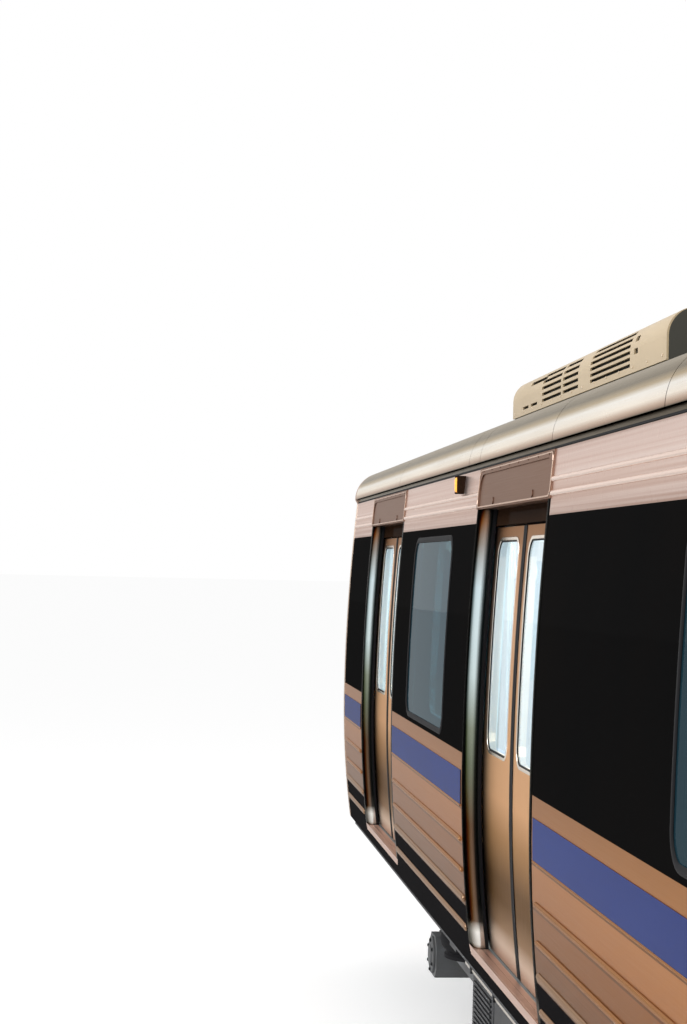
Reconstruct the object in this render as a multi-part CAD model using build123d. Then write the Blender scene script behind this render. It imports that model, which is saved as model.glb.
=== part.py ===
from build123d import *
import os
from math import atan2, cos, pi, radians, sin, sqrt

os.makedirs("parts", exist_ok=True)

# A stainless-steel metro car, one intermediate car of a train, with no cab.
# X runs along the car, +Y is one side and Z is up. Z is 0 at the tips of the wheel flanges,
# and heights named here are measured from there. All sizes are in millimetres.

# Running gear
FLANGE_HEIGHT = 28
FLANGE_WIDTH = 32
WHEEL_DIAMETER = 850
WHEEL_WIDTH = 130
WHEEL_RIM = 75
WHEEL_WEB = 34
HUB_RADIUS = 125
HUB_PROUD = 20
GAUGE = 1435
GAUGE_PLAY = 9
WHEEL_SIDES = 20
PIN_SIDES = 24
AXLE_SPACING = 2100
AXLE_RADIUS = 80
JOURNAL_RADIUS = 65

# Heights above the rail's top
FLOOR_TOP = 1100
FLOOR_THICK = 40
SILL_DEPTH = 110
SKIRT_BOTTOM = 1000
SKIRT_TOP = 1270
WAIST = 1900
STEEL_TOP = 1963
BAND_TOP = 3006
CANT_TOP = 3255
GUTTER_TOP = 3285
ROOF_CREST = 3620
CEILING_BOTTOM = 3190
DOOR_TOP = 3070
LEAF_TOP = 2985
WINDOW_BOTTOM = 2000
WINDOW_TOP = 2950
AC_BOTTOM = 3590
AC_TOP = 3790
COUPLER_HEIGHT = 700

# The bowed side of the body
WAIST_HALF = 1480
LOWER_RADIUS = 6400
UPPER_RADIUS = 13800
SKIN = 30
SOLE_OUTER = 1385
SOLE_WIDTH = 90
CORNER_FLATS = 3
POLE_SIDES = 8
LINING_INSET = 131
LINING = 25

# Lengths along the car
BODY_LENGTH = 20000
END_WALL = 60
COUPLER_REACH = 300
OVERHANG = 3300
END_BAY = 1135
DOOR_PITCH = 4380
DOOR_CLEAR = 1420
POST_WIDTH = 145
BAY_WINDOW = 1380
WINDOW_CORNER = 90
AC_CENTRE = 4200
AC_LENGTH = 3200

# Fits
SEAT_GAP = 0.3
RUNNING_FIT = 0.1
CLEARANCE = 6

# Sliding doors
PORTAL_DEPTH = 70
LEAF_INSET = 75
LEAF_THICK = 34
LEAF_WIDTH = 720
LEAF_MEETING = 5
LEAF_WINDOW_WIDTH = 500
LEAF_WINDOW_CORNER = 75
SHOE_LENGTH = 90
SHOE_WIDTH = 22

# Roof edge
CANT_RADIUS = 200
CANT_EDGE = 1430
CANT_THICK = 45
ROOF_THICK = 45
GUTTER_RECESS = 20

# End doorways
END_DOOR_WIDTH = 760
END_DOOR_TOP = 3020
END_DOOR_THICK = 50
END_DOOR_SET = 10
END_WINDOW_WIDTH = 420
HINGE_RADIUS = 9
KNUCKLE = 90
HINGE_HEIGHTS = (1400, 2700)
STRAP_THICK = 10
STRAP_REACH = 60


def above_rail(height):
    """Height above the flange tips of a height above the rail."""
    return height + FLANGE_HEIGHT


BODY_END = BODY_LENGTH / 2
WALL_END = BODY_END - END_WALL
WAIST_Z = above_rail(WAIST)
FLOOR_Z = above_rail(FLOOR_TOP)
FLOOR_UNDER = FLOOR_Z - FLOOR_THICK
SOLE_BOTTOM = FLOOR_UNDER - SILL_DEPTH
SKIRT_LOW = above_rail(SKIRT_BOTTOM)
SKIRT_HIGH = above_rail(SKIRT_TOP)
STEEL_HIGH = above_rail(STEEL_TOP)
BAND_HIGH = above_rail(BAND_TOP)
CANT_HIGH = above_rail(CANT_TOP)
GUTTER_HIGH = above_rail(GUTTER_TOP)
CREST = above_rail(ROOF_CREST)
CEILING_Z = above_rail(CEILING_BOTTOM)
DOOR_HIGH = above_rail(DOOR_TOP)
LEAF_HIGH = above_rail(LEAF_TOP)
PORTAL_HALF = DOOR_CLEAR / 2 + POST_WIDTH
PIVOT_X = BODY_END - OVERHANG
WHEEL_RADIUS = WHEEL_DIAMETER / 2
AXLE_Z = WHEEL_RADIUS + FLANGE_HEIGHT
OUTER_DOOR = WALL_END - END_BAY - PORTAL_HALF
ALL_DOORS = [side * x for side in (-1, 1) for x in (OUTER_DOOR, OUTER_DOOR - DOOR_PITCH)]


def half_width(z, inset=0.0):
    """Half the body's width at height z, a given inset behind the skin's face."""
    radius = LOWER_RADIUS if z < WAIST_Z else UPPER_RADIUS
    return WAIST_HALF - radius + sqrt((radius - inset) ** 2 - (z - WAIST_Z) ** 2)


def bowed_edges(z_start, z_end, inset):
    """The arcs of the side between two heights, split at the waist, where the radius changes."""
    heights = [z_start, z_end]
    if min(heights) < WAIST_Z < max(heights):
        heights.insert(1, WAIST_Z)
    edges = []
    for start, end in zip(heights, heights[1:]):
        points = [(0, half_width(z, inset), z) for z in (start, (start + end) / 2, end)]
        edges.append(Edge.make_three_point_arc(*points))
    return edges


def closed_face(edges):
    """The flat face inside a chain of edges, whose open ends are joined by straight lines."""
    chain = []
    for edge, following in zip(edges, edges[1:] + edges[:1]):
        chain.append(edge)
        if (edge @ 1 - following @ 0).length > 0.001:
            chain.append(Edge.make_line(edge @ 1, following @ 0))
    return Face(Wire(chain))


def along_x(face, x_low, x_high):
    """A face of the YZ plane, extruded from one place along the car to another."""
    return Pos(x_low, 0, 0) * extrude(face, amount=x_high - x_low, dir=(1, 0, 0))


def flat_edges(z_start, z_end, inset):
    """Straight lines between the ends of the side's arcs, for the flat inner faces of a wall."""
    return [Edge.make_line(arc @ 0, arc @ 1) for arc in bowed_edges(z_start, z_end, inset)]


def wall_piece(x_low, x_high, z_low, z_high, outer, inner):
    """A piece of the +Y wall between two insets, bowed outside like the body and flat inside."""
    outside = bowed_edges(z_low, z_high, outer)
    inside = flat_edges(z_high, z_low, inner)
    return along_x(closed_face(outside + inside), x_low, x_high)


def bowed_piece(x_low, x_high, z_low, z_high, outer, inner):
    """A piece of the +Y wall between two insets, bowed outside and inside."""
    edges = bowed_edges(z_low, z_high, outer) + bowed_edges(z_high, z_low, inner)
    return along_x(closed_face(edges), x_low, x_high)


def block(x_range, y_range, z_range):
    """A plain block between two corners."""
    low = [span[0] for span in (x_range, y_range, z_range)]
    size = [span[1] - span[0] for span in (x_range, y_range, z_range)]
    return Pos(*low) * Box(*size, align=(Align.MIN, Align.MIN, Align.MIN))


def turned_pin(radius, length):
    """A many-sided pin about the Z axis and centred on the origin, whose corners lie at its radius."""
    return Pos(0, 0, -length / 2) * extrude(RegularPolygon(radius, PIN_SIDES), amount=length)


def running_bore(radius, length):
    """The bore for such a pin, whose flats stand clear of the pin's corners."""
    outline = RegularPolygon(radius + RUNNING_FIT, PIN_SIDES, major_radius=False)
    return Pos(0, 0, -length / 2) * extrude(outline, amount=length)


def soft_rectangle(width, tall, corner):
    """A rectangle whose corners turn in a few flats, since there are many of them."""
    points = []
    for number, (right, up) in enumerate(((1, 1), (-1, 1), (-1, -1), (1, -1))):
        for step in range(CORNER_FLATS + 1):
            angle = (number + step / CORNER_FLATS) * pi / 2
            points.append((right * (width / 2 - corner) + corner * cos(angle),
                           up * (tall / 2 - corner) + corner * sin(angle)))
    return Polygon(*points, align=None)


def side_cutter(x, z_low, z_high, width, corner):
    """A rounded bar along Y that cuts a window through the +Y wall."""
    outline = Pos(x, (z_low + z_high) / 2) * soft_rectangle(width, z_high - z_low, corner)
    return Pos(0, WAIST_HALF, 0) * extrude(Plane.XZ * outline, amount=4 * LINING_INSET, both=True)


def both_sides(pieces):
    """The pieces of the +Y side and their mirror images."""
    return pieces + [mirror(piece, about=Plane.XZ) for piece in pieces]


def both_ends(pieces):
    """The pieces of the +X end and their mirror images."""
    return pieces + [mirror(piece, about=Plane.YZ) for piece in pieces]


def save(name, pieces):
    """Write the pieces as one sub-part."""
    solids = [solid for piece in pieces for solid in piece.solids()]
    whole = solids[0] if len(solids) == 1 else Compound(children=solids)
    export_step(whole, f"parts/{name}.step")


# Bays between the portals of one side, as (start, end, window's centre or None)
portal_edges = sorted(x + side * PORTAL_HALF for x in ALL_DOORS for side in (-1, 1))
bay_starts = [-WALL_END] + portal_edges[1::2]
bay_ends = portal_edges[0::2] + [WALL_END]
BAYS = list(zip(bay_starts, bay_ends))
WINDOW_CENTRES = [(start + end) / 2 for start, end in BAYS[1:-1]]


# Underframe: two sole bars, and between them the cross-bearers, bolsters and headstocks
BEARER_WIDTH = 100
BOLSTER_WIDTH = 620
HEADSTOCK_WIDTH = 260
BEARER_PITCH = PIVOT_X / 5
JACK_SET = 1500
JACK_X = PIVOT_X - JACK_SET
JACK_LONG = 200
JACK_THICK = 15
CROSS_MEMBERS = [(step * BEARER_PITCH, BEARER_WIDTH) for step in range(-4, 5)]
CROSS_MEMBERS += [(side * PIVOT_X, BOLSTER_WIDTH) for side in (-1, 1)]
CROSS_MEMBERS += [(side * (WALL_END - HEADSTOCK_WIDTH / 2), HEADSTOCK_WIDTH) for side in (-1, 1)]


def underframe():
    depth = (SOLE_BOTTOM, FLOOR_UNDER)
    inner = SOLE_OUTER - SOLE_WIDTH
    bar = block((-WALL_END, WALL_END), (inner, SOLE_OUTER), depth)
    pads = [block((end * JACK_X - JACK_LONG / 2, end * JACK_X + JACK_LONG / 2), (inner, SOLE_OUTER),
                  (SOLE_BOTTOM - JACK_THICK, SOLE_BOTTOM)) for end in (-1, 1)]
    save("sole_bars", both_sides([bar.fuse(*pads)]))
    bearers = [block((x - width / 2, x + width / 2), (-inner, inner), depth) for x, width in CROSS_MEMBERS]
    save("cross_bearers", bearers)


def floor():
    save("floor", [block((-WALL_END, WALL_END), (-SOLE_OUTER, SOLE_OUTER), (FLOOR_UNDER, FLOOR_Z))])


# Beads: raised ridges with pointed ends
BEAD_TAPER = 35
BEAD_ROOT = 4


def bead(x_low, x_high, z, tall, proud):
    """A raised bead on the +Y side, from one place along the car to another."""
    middle = tall / 2
    corners = [
        (-x_high, 0), (-x_high + tall, -middle), (-x_low - tall, -middle),
        (-x_low, 0), (-x_low - tall, middle), (-x_high + tall, middle),
    ]
    face = Plane((0, half_width(z) - BEAD_ROOT, z), x_dir=(-1, 0, 0), z_dir=(0, 1, 0))
    return extrude(face * Polygon(*corners, align=None), amount=BEAD_ROOT + proud, taper=BEAD_TAPER)


# Skirt: a black panel below the first steel, flat inside against the sole bar, with a bright strip
PORTAL_BOTTOM = FLOOR_UNDER
STRIP_HEIGHT = 1165
STRIP_TALL = 32
STRIP_PROUD = 9
STRIP_SHORT = 30


def skirt_piece(x_low, x_high, z_high):
    outside = bowed_edges(SKIRT_LOW, z_high, 0)
    inside = [Edge.make_line((0, SOLE_OUTER, z_high), (0, SOLE_OUTER, SKIRT_LOW))]
    return along_x(closed_face(outside + inside), x_low, x_high)


def skirts():
    pieces = [skirt_piece(start, end, SKIRT_HIGH) for start, end in BAYS]
    pieces += [skirt_piece(x - PORTAL_HALF, x + PORTAL_HALF, PORTAL_BOTTOM) for x in ALL_DOORS]
    strips = [bead(start + STRIP_SHORT, end - STRIP_SHORT, above_rail(STRIP_HEIGHT), STRIP_TALL, STRIP_PROUD)
              for start, end in BAYS]
    skirt = pieces[0].fuse(*pieces[1:], *strips)
    save("skirt_panels", both_sides([skirt]))


# Lower panels: stainless steel with raised beads that stop short of the portals,
# as (height above the rail, height of the bead, how proud it stands, how far it stops short)
BEADS = (
    (1297, 32, 9, 30),
    (1425, 28, 8, 45),
    (1566, 28, 8, 45),
)
STRIPE_LOW = 1727
STRIPE_HIGH = 1883
STRIPE_PROUD = 3
STRIPE_SHORT = 28


def lower_panels():
    panels = []
    for start, end in BAYS:
        panel = wall_piece(start, end, SKIRT_HIGH, STEEL_HIGH, 0, SKIN)
        panel = panel + wall_piece(start + STRIPE_SHORT, end - STRIPE_SHORT, above_rail(STRIPE_LOW),
                                   above_rail(STRIPE_HIGH), -STRIPE_PROUD, SKIN)
        for height, tall, proud, short in BEADS:
            panel = panel + bead(start + short, end - short, above_rail(height), tall, proud)
        panels.append(panel)
    save("lower_panels", both_sides(panels))


# Window band: black panels with the bay windows cut, and their panes
PANE_THICK = 10
PANE_SET = 2


def window_panels():
    panels = []
    for start, end in BAYS:
        panel = wall_piece(start, end, STEEL_HIGH, BAND_HIGH, 0, SKIN)
        centre = (start + end) / 2
        if centre in WINDOW_CENTRES:
            cut = (centre, above_rail(WINDOW_BOTTOM), above_rail(WINDOW_TOP))
            panel = panel - side_cutter(*cut, BAY_WINDOW, WINDOW_CORNER)
        panels.append(panel)
    save("window_panels", both_sides(panels))


def side_panes():
    """The panes of the bay windows, set just behind the panels' face."""
    panes = []
    for centre in WINDOW_CENTRES:
        half = BAY_WINDOW / 2
        sheet = bowed_piece(centre - half, centre + half, STEEL_HIGH, BAND_HIGH,
                            PANE_SET, PANE_SET + PANE_THICK)
        hole = side_cutter(centre, above_rail(WINDOW_BOTTOM), above_rail(WINDOW_TOP),
                           BAY_WINDOW, WINDOW_CORNER)
        panes.append(sheet & hole)
    return both_sides(panes)


# Cant panels: the steel above the band, with two mouldings, and one door lamp's housing a side
MOULDING_HEIGHTS = (3088, 3142)
MOULDING_TALL = 16
MOULDING_PROUD = 5
LAMP_SET = 1360
LAMP_HEIGHT = 3202
LAMP_LONG = 60
LAMP_TALL = 80
LAMP_PROUD = 34
LAMP_EDGE = 8


def lamp_housing():
    """The housing of the lamp that tells the platform staff of an open door, on the +Y side."""
    x = OUTER_DOOR - DOOR_PITCH + LAMP_SET
    z = above_rail(LAMP_HEIGHT)
    face = half_width(z)
    housing = block((x - LAMP_LONG / 2, x + LAMP_LONG / 2), (face - LAMP_EDGE, face + LAMP_PROUD),
                    (z - LAMP_TALL / 2, z + LAMP_TALL / 2))
    return chamfer(housing.faces().sort_by(Axis.Y)[-1].edges(), LAMP_EDGE)


def cant_panels():
    panels = []
    for start, end in BAYS:
        panel = wall_piece(start, end, BAND_HIGH, CANT_HIGH, 0, SKIN)
        for height in MOULDING_HEIGHTS:
            z = above_rail(height)
            low, high = z - MOULDING_TALL / 2, z + MOULDING_TALL / 2
            panel = panel + wall_piece(start, end, low, high, -MOULDING_PROUD, SKIN)
        if start < OUTER_DOOR - DOOR_PITCH + LAMP_SET < end:
            panel = panel + lamp_housing()
        panels.append(panel)
    save("cant_panels", both_sides(panels))


# Portals: posts with curved reveals, a lintel with a raised border, and a sill, round each doorway
BORDER = 28
BORDER_PROUD = 6
BORDER_CORNER = 70
SILL_CORNER = 35
REVEAL_LAND = 20
REVEAL_DEEP = 34
POST_STEPS = 3
POST_DEPTH = PORTAL_DEPTH - 2
REVEAL_FLATS = 3


def post_section():
    """The post on the +X side of a doorway centred on X = 0, as (x, inset) from its outer edge inward."""
    points = [(PORTAL_HALF, POST_DEPTH), (PORTAL_HALF, 0)]
    for step in range(REVEAL_FLATS + 1):
        angle = step / REVEAL_FLATS * pi / 2
        points.append((PORTAL_HALF - REVEAL_LAND - (POST_WIDTH - REVEAL_LAND) * sin(angle),
                       REVEAL_DEEP * (1 - cos(angle))))
    points.append((DOOR_CLEAR / 2, POST_DEPTH))
    return points


def door_post():
    """The post: its section lofted up the bowed wall, in a few straight lengths on each arc."""
    heights = [FLOOR_Z + (WAIST_Z - FLOOR_Z) * step / POST_STEPS for step in range(POST_STEPS)]
    heights += [WAIST_Z + (DOOR_HIGH - WAIST_Z) * step / POST_STEPS for step in range(POST_STEPS + 1)]
    wires = []
    for z in heights:
        corners = [(x, half_width(z, inset), z) for x, inset in post_section()]
        wires.append(Wire.make_polygon(corners, close=True))
    return Solid.make_loft(wires, ruled=True)


def door_lintel():
    """The lintel of a doorway centred on X = 0, whose border follows its ends and top."""
    lintel = bowed_piece(-PORTAL_HALF, PORTAL_HALF, DOOR_HIGH, CANT_HIGH, -BORDER_PROUD, PORTAL_DEPTH)
    in_front = bowed_piece(-PORTAL_HALF, PORTAL_HALF, FLOOR_Z, CANT_HIGH, -PORTAL_DEPTH, 0)
    width = 2 * (PORTAL_HALF - BORDER)
    tall = 2 * (CANT_HIGH - BORDER - DOOR_HIGH)
    field = Pos(0, DOOR_HIGH) * soft_rectangle(width, tall, BORDER_CORNER)
    through = Pos(0, WAIST_HALF, 0) * extrude(Plane.XZ * field, amount=4 * LINING_INSET, both=True)
    return lintel - (in_front & through)


def portals():
    post = door_post()
    lintel = door_lintel()
    outside = bowed_edges(PORTAL_BOTTOM, FLOOR_Z, 0)
    inside = [Edge.make_line((0, SOLE_OUTER, FLOOR_Z), (0, SOLE_OUTER, PORTAL_BOTTOM))]
    sill = along_x(closed_face(outside + inside), -PORTAL_HALF, PORTAL_HALF)
    sill = chamfer(sill.edges().filter_by(Axis.Y).group_by(Axis.Z)[0], SILL_CORNER)
    places = [Pos(x, 0, 0) for x in ALL_DOORS]
    save("door_posts", both_sides([place * piece for place in places for piece in both_ends([post])]))
    save("door_lintels", both_sides([place * lintel for place in places]))
    save("door_sills", both_sides([place * sill for place in places]))


# Door headers: the dark strip and gear case over the leaves
HEADER_INSET = PORTAL_DEPTH
HEADER_RISE = 10
HEADER_BOTTOM = LEAF_TOP + HEADER_RISE


def door_headers():
    pieces = []
    for x in ALL_DOORS:
        pieces.append(wall_piece(x - PORTAL_HALF, x + PORTAL_HALF, above_rail(HEADER_BOTTOM),
                                 CEILING_Z, HEADER_INSET, LINING_INSET + LINING))
    save("door_headers", both_sides(pieces))


# Door leaves: bowed, with a rounded window, hung just clear of the floor on two guide shoes
LEAF_RAISE = 8
SHOE_ROOT = 4
LEAF_WINDOW_DROP = 20


def door_leaf():
    """The leaf on the +X side of a doorway centred on X = 0, on the +Y side of the car."""
    start = LEAF_MEETING / 2
    end = start + LEAF_WIDTH
    leaf = wall_piece(start, end, FLOOR_Z + LEAF_RAISE, LEAF_HIGH, LEAF_INSET, LEAF_INSET + LEAF_THICK)
    window_high = above_rail(WINDOW_TOP) - LEAF_WINDOW_DROP
    window = side_cutter((start + end) / 2, above_rail(WINDOW_BOTTOM), window_high,
                         LEAF_WINDOW_WIDTH, LEAF_WINDOW_CORNER)
    middle = half_width(FLOOR_Z, LEAF_INSET + LEAF_THICK / 2)
    depth = (middle - SHOE_WIDTH / 2, middle + SHOE_WIDTH / 2)
    rise = (FLOOR_Z + SEAT_GAP, FLOOR_Z + LEAF_RAISE + SHOE_ROOT)
    leaf = leaf - window
    for x in (start + SHOE_LENGTH, end - SHOE_LENGTH):
        leaf = leaf + block((x - SHOE_LENGTH / 2, x + SHOE_LENGTH / 2), depth, rise)
    return leaf


def door_leaves():
    leaf = door_leaf()
    other = mirror(leaf, about=Plane.YZ)
    for number, x in enumerate(sorted(ALL_DOORS), start=1):
        for hand, piece in (("a", other), ("b", leaf)):
            placed = Pos(x, 0, 0) * piece
            save(f"door_leaf_left_{number}{hand}", [placed])
            save(f"door_leaf_right_{number}{hand}", [mirror(placed, about=Plane.XZ)])


# Roof edge: a half-round stainless cant rail over a recessed gutter, tangent to the roof's arc
CANT_CENTRE_Y = CANT_EDGE - CANT_RADIUS
CROWN = CREST - GUTTER_HIGH
ROOF_RADIUS = (CANT_CENTRE_Y ** 2 + CROWN ** 2 - CANT_RADIUS ** 2) / (2 * (CROWN - CANT_RADIUS))
ROOF_CENTRE_Z = CREST - ROOF_RADIUS
TANGENT_ANGLE = atan2(GUTTER_HIGH - ROOF_CENTRE_Z, CANT_CENTRE_Y)
WEB_SET = 5


def cant_point(radius, angle):
    """A point about the cant rail's centre, in the YZ plane."""
    return (0, CANT_CENTRE_Y + radius * cos(angle), GUTTER_HIGH + radius * sin(angle))


def roof_point(radius, angle):
    """A point about the roof arc's centre, in the YZ plane."""
    return (0, radius * cos(angle), ROOF_CENTRE_Z + radius * sin(angle))


def cant_rails():
    outer = Edge.make_three_point_arc(
        *[cant_point(CANT_RADIUS, TANGENT_ANGLE * share) for share in (0, 0.5, 1)])
    inner = Edge.make_three_point_arc(
        *[cant_point(CANT_RADIUS - CANT_THICK, TANGENT_ANGLE * share) for share in (1, 0.5, 0)])
    face_y = CANT_EDGE - GUTTER_RECESS
    web_y = CANT_EDGE - CANT_THICK - WEB_SET
    foot = Edge.make_line((0, web_y, CANT_HIGH), (0, face_y, CANT_HIGH))
    face = Edge.make_line((0, face_y, CANT_HIGH), (0, face_y, GUTTER_HIGH))
    back = Edge.make_line((0, web_y, GUTTER_HIGH), (0, web_y, CANT_HIGH))
    rail = along_x(closed_face([outer, inner, back, foot, face]), -WALL_END, WALL_END)
    save("cant_rails", both_sides([rail]))


def roof():
    outer = Edge.make_three_point_arc(*[roof_point(ROOF_RADIUS, angle)
                                        for angle in (TANGENT_ANGLE, pi / 2, pi - TANGENT_ANGLE)])
    inner = Edge.make_three_point_arc(*[roof_point(ROOF_RADIUS - ROOF_THICK, angle)
                                        for angle in (pi - TANGENT_ANGLE, pi / 2, TANGENT_ANGLE)])
    save("roof", [along_x(closed_face([outer, inner]), -WALL_END, WALL_END)])


# Roof cooling units: a cream-white case with a curved shoulder, on a dark curb
AC_HALF = 1030
AC_SHOULDER = 110
CURB_INSET = 40
SLAT_DEPTH = 25

# Cuts in each side of a case, as (distance from the outer end, bottom above the case's foot,
# width, height, rows, gap between rows)
LOUVRES = (
    (440, 136, 420, 18, 1, 0),
    (790, 28, 460, 15, 5, 15),
    (1290, 28, 340, 15, 5, 15),
    (1880, 26, 740, 14, 6, 12),
    (2690, 70, 60, 22, 2, 28),
    (285, 28, 150, 14, 1, 0),
    (500, 28, 165, 14, 1, 0),
)


def shoulder_lean(height):
    """How far the curved side of a case lies behind its foot at a height above that foot."""
    above = max(0, height - (AC_TOP - AC_BOTTOM - AC_SHOULDER))
    return AC_SHOULDER - sqrt(AC_SHOULDER ** 2 - above ** 2)


def ac_case():
    """A case whose outer end is at X = 0 and whose inner end is at X = -AC_LENGTH."""
    low = above_rail(AC_BOTTOM)
    case = block((-AC_LENGTH, 0), (-AC_HALF, AC_HALF), (low, above_rail(AC_TOP)))
    case = fillet(case.edges().filter_by(Axis.X).group_by(Axis.Z)[-1], AC_SHOULDER)
    slots = []
    for start, foot, width, tall, rows, gap in LOUVRES:
        for row in range(round(rows)):
            height = foot + row * (tall + gap)
            deep = AC_HALF - SLAT_DEPTH - shoulder_lean(height + tall)
            slots.append(block((-start - width, -start), (deep, AC_HALF + SLAT_DEPTH),
                               (low + height, low + height + tall)))
    return case - both_sides(slots)


def ac_units():
    crown = Pos(0, 0, ROOF_CENTRE_Z) * Rot(0, 90, 0) * Cylinder(ROOF_RADIUS, 2 * BODY_LENGTH)
    outer_end = AC_CENTRE + AC_LENGTH / 2
    case = Pos(outer_end, 0, 0) * ac_case() - crown
    save("ac_unit_front", [case])
    save("ac_unit_rear", [mirror(case, about=Plane.YZ)])
    curb_half = AC_HALF - CURB_INSET
    curb = block((outer_end - AC_LENGTH + CURB_INSET, outer_end - CURB_INSET), (-curb_half, curb_half),
                 (GUTTER_HIGH, above_rail(AC_BOTTOM)))
    save("ac_curbs", both_ends([curb - crown]))


# Body ends: two panels and a lintel round each end doorway
def end_outline():
    """The whole end of the body as a face in the YZ plane."""
    side = bowed_edges(SKIRT_LOW, CANT_HIGH, 0)
    cant = Edge.make_three_point_arc(
        *[cant_point(CANT_RADIUS, TANGENT_ANGLE * share) for share in (0, 0.5, 1)])
    crown = Edge.make_three_point_arc(*[roof_point(ROOF_RADIUS, angle)
                                        for angle in (TANGENT_ANGLE, (TANGENT_ANGLE + pi / 2) / 2, pi / 2)])
    base = Edge.make_line((0, 0, CREST), (0, 0, SKIRT_LOW))
    return closed_face(side + [cant, crown, base])


def end_window(x_low, x_high):
    """A rounded bar along X, the outline of an end panel's window."""
    window_y = (END_DOOR_WIDTH / 2 + WAIST_HALF - SKIN) / 2
    low = above_rail(WINDOW_BOTTOM)
    high = above_rail(WINDOW_TOP)
    outline = Pos(window_y, (low + high) / 2) * soft_rectangle(END_WINDOW_WIDTH, high - low, WINDOW_CORNER)
    return Pos(x_low, 0, 0) * extrude(Plane.YZ * outline, amount=x_high - x_low)


def windows():
    middle = (WALL_END + BODY_END) / 2
    pane = end_window(middle, middle + PANE_THICK)
    save("windows", side_panes() + both_ends(both_sides([pane])))


DOOR_INNER_X = WALL_END - END_DOOR_SET
HINGE_X = DOOR_INNER_X - STRAP_THICK / 2
HINGE_Y = END_DOOR_WIDTH / 2 + END_DOOR_SET
PLATE_SET = 3


def frame_knuckles():
    """The fixed halves of the +X end door's hinges."""
    knuckles = []
    for height in HINGE_HEIGHTS:
        for side in (-1, 1):
            z = above_rail(height) + side * (KNUCKLE + SEAT_GAP)
            barrel = Pos(HINGE_X, HINGE_Y, z - KNUCKLE / 2) * extrude(
                RegularPolygon(HINGE_RADIUS, POLE_SIDES), amount=KNUCKLE)
            plate = block((HINGE_X + PLATE_SET, WALL_END), (HINGE_Y, HINGE_Y + STRAP_REACH),
                          (z - KNUCKLE / 2, z + KNUCKLE / 2))
            knuckles.append(barrel + plate)
    return knuckles


def end_walls():
    half = along_x(end_outline(), WALL_END, BODY_END)
    door_half = END_DOOR_WIDTH / 2
    door_high = above_rail(END_DOOR_TOP)
    doorway = block((0, BODY_LENGTH), (0, door_half), (FLOOR_Z, 2 * CREST))
    panel = half - doorway - end_window(WALL_END, BODY_END)
    hinged = panel
    for knuckle in frame_knuckles():
        hinged = hinged + knuckle
    lintel = half & block((WALL_END, BODY_END), (0, door_half), (door_high, CREST))
    lintel = lintel + mirror(lintel, about=Plane.XZ)
    save("end_panels", both_ends([hinged, mirror(panel, about=Plane.XZ)]))
    save("end_lintels", both_ends([lintel]))


END_DOOR_WINDOW = 460
END_DOOR_RAIL = 150


def end_doors():
    door_half = END_DOOR_WIDTH / 2 - CLEARANCE
    inner_x = DOOR_INNER_X
    slab = block((inner_x, inner_x + END_DOOR_THICK), (-door_half, door_half),
                 (FLOOR_Z + CLEARANCE, above_rail(END_DOOR_TOP) - CLEARANCE))
    glass_low = above_rail(WINDOW_BOTTOM)
    glass_high = above_rail(END_DOOR_TOP) - END_DOOR_RAIL
    outline = Pos(0, (glass_low + glass_high) / 2) * soft_rectangle(
        END_DOOR_WINDOW, glass_high - glass_low, WINDOW_CORNER)
    slab = slab - extrude(Plane.YZ * outline, amount=2 * BODY_LENGTH)
    for height in HINGE_HEIGHTS:
        z = above_rail(height)
        barrel = Pos(HINGE_X, HINGE_Y, z - KNUCKLE / 2) * extrude(
            RegularPolygon(HINGE_RADIUS, POLE_SIDES), amount=KNUCKLE)
        strap = block((HINGE_X - STRAP_THICK / 2, inner_x), (door_half - STRAP_REACH, HINGE_Y),
                      (z - KNUCKLE / 2, z + KNUCKLE / 2))
        slab = slab + barrel + strap
    save("end_door_front", [slab])
    save("end_door_rear", [mirror(slab, about=Plane.YZ)])


# Saloon: lining, ceiling, lights, seats and poles
STRIP_END = 100
STRIP_Y = 560
STRIP_WIDE = 200
STRIP_THICK = 30
SEAT_END = 160
SEAT_DEEP = 450
SEAT_HIGH = 430
BACK_THICK = 70
BACK_HIGH = 430
POLE_SET = 60
POLE_Y = 800
POLE_RADIUS = 17
CEILING_THICK = 25


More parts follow.
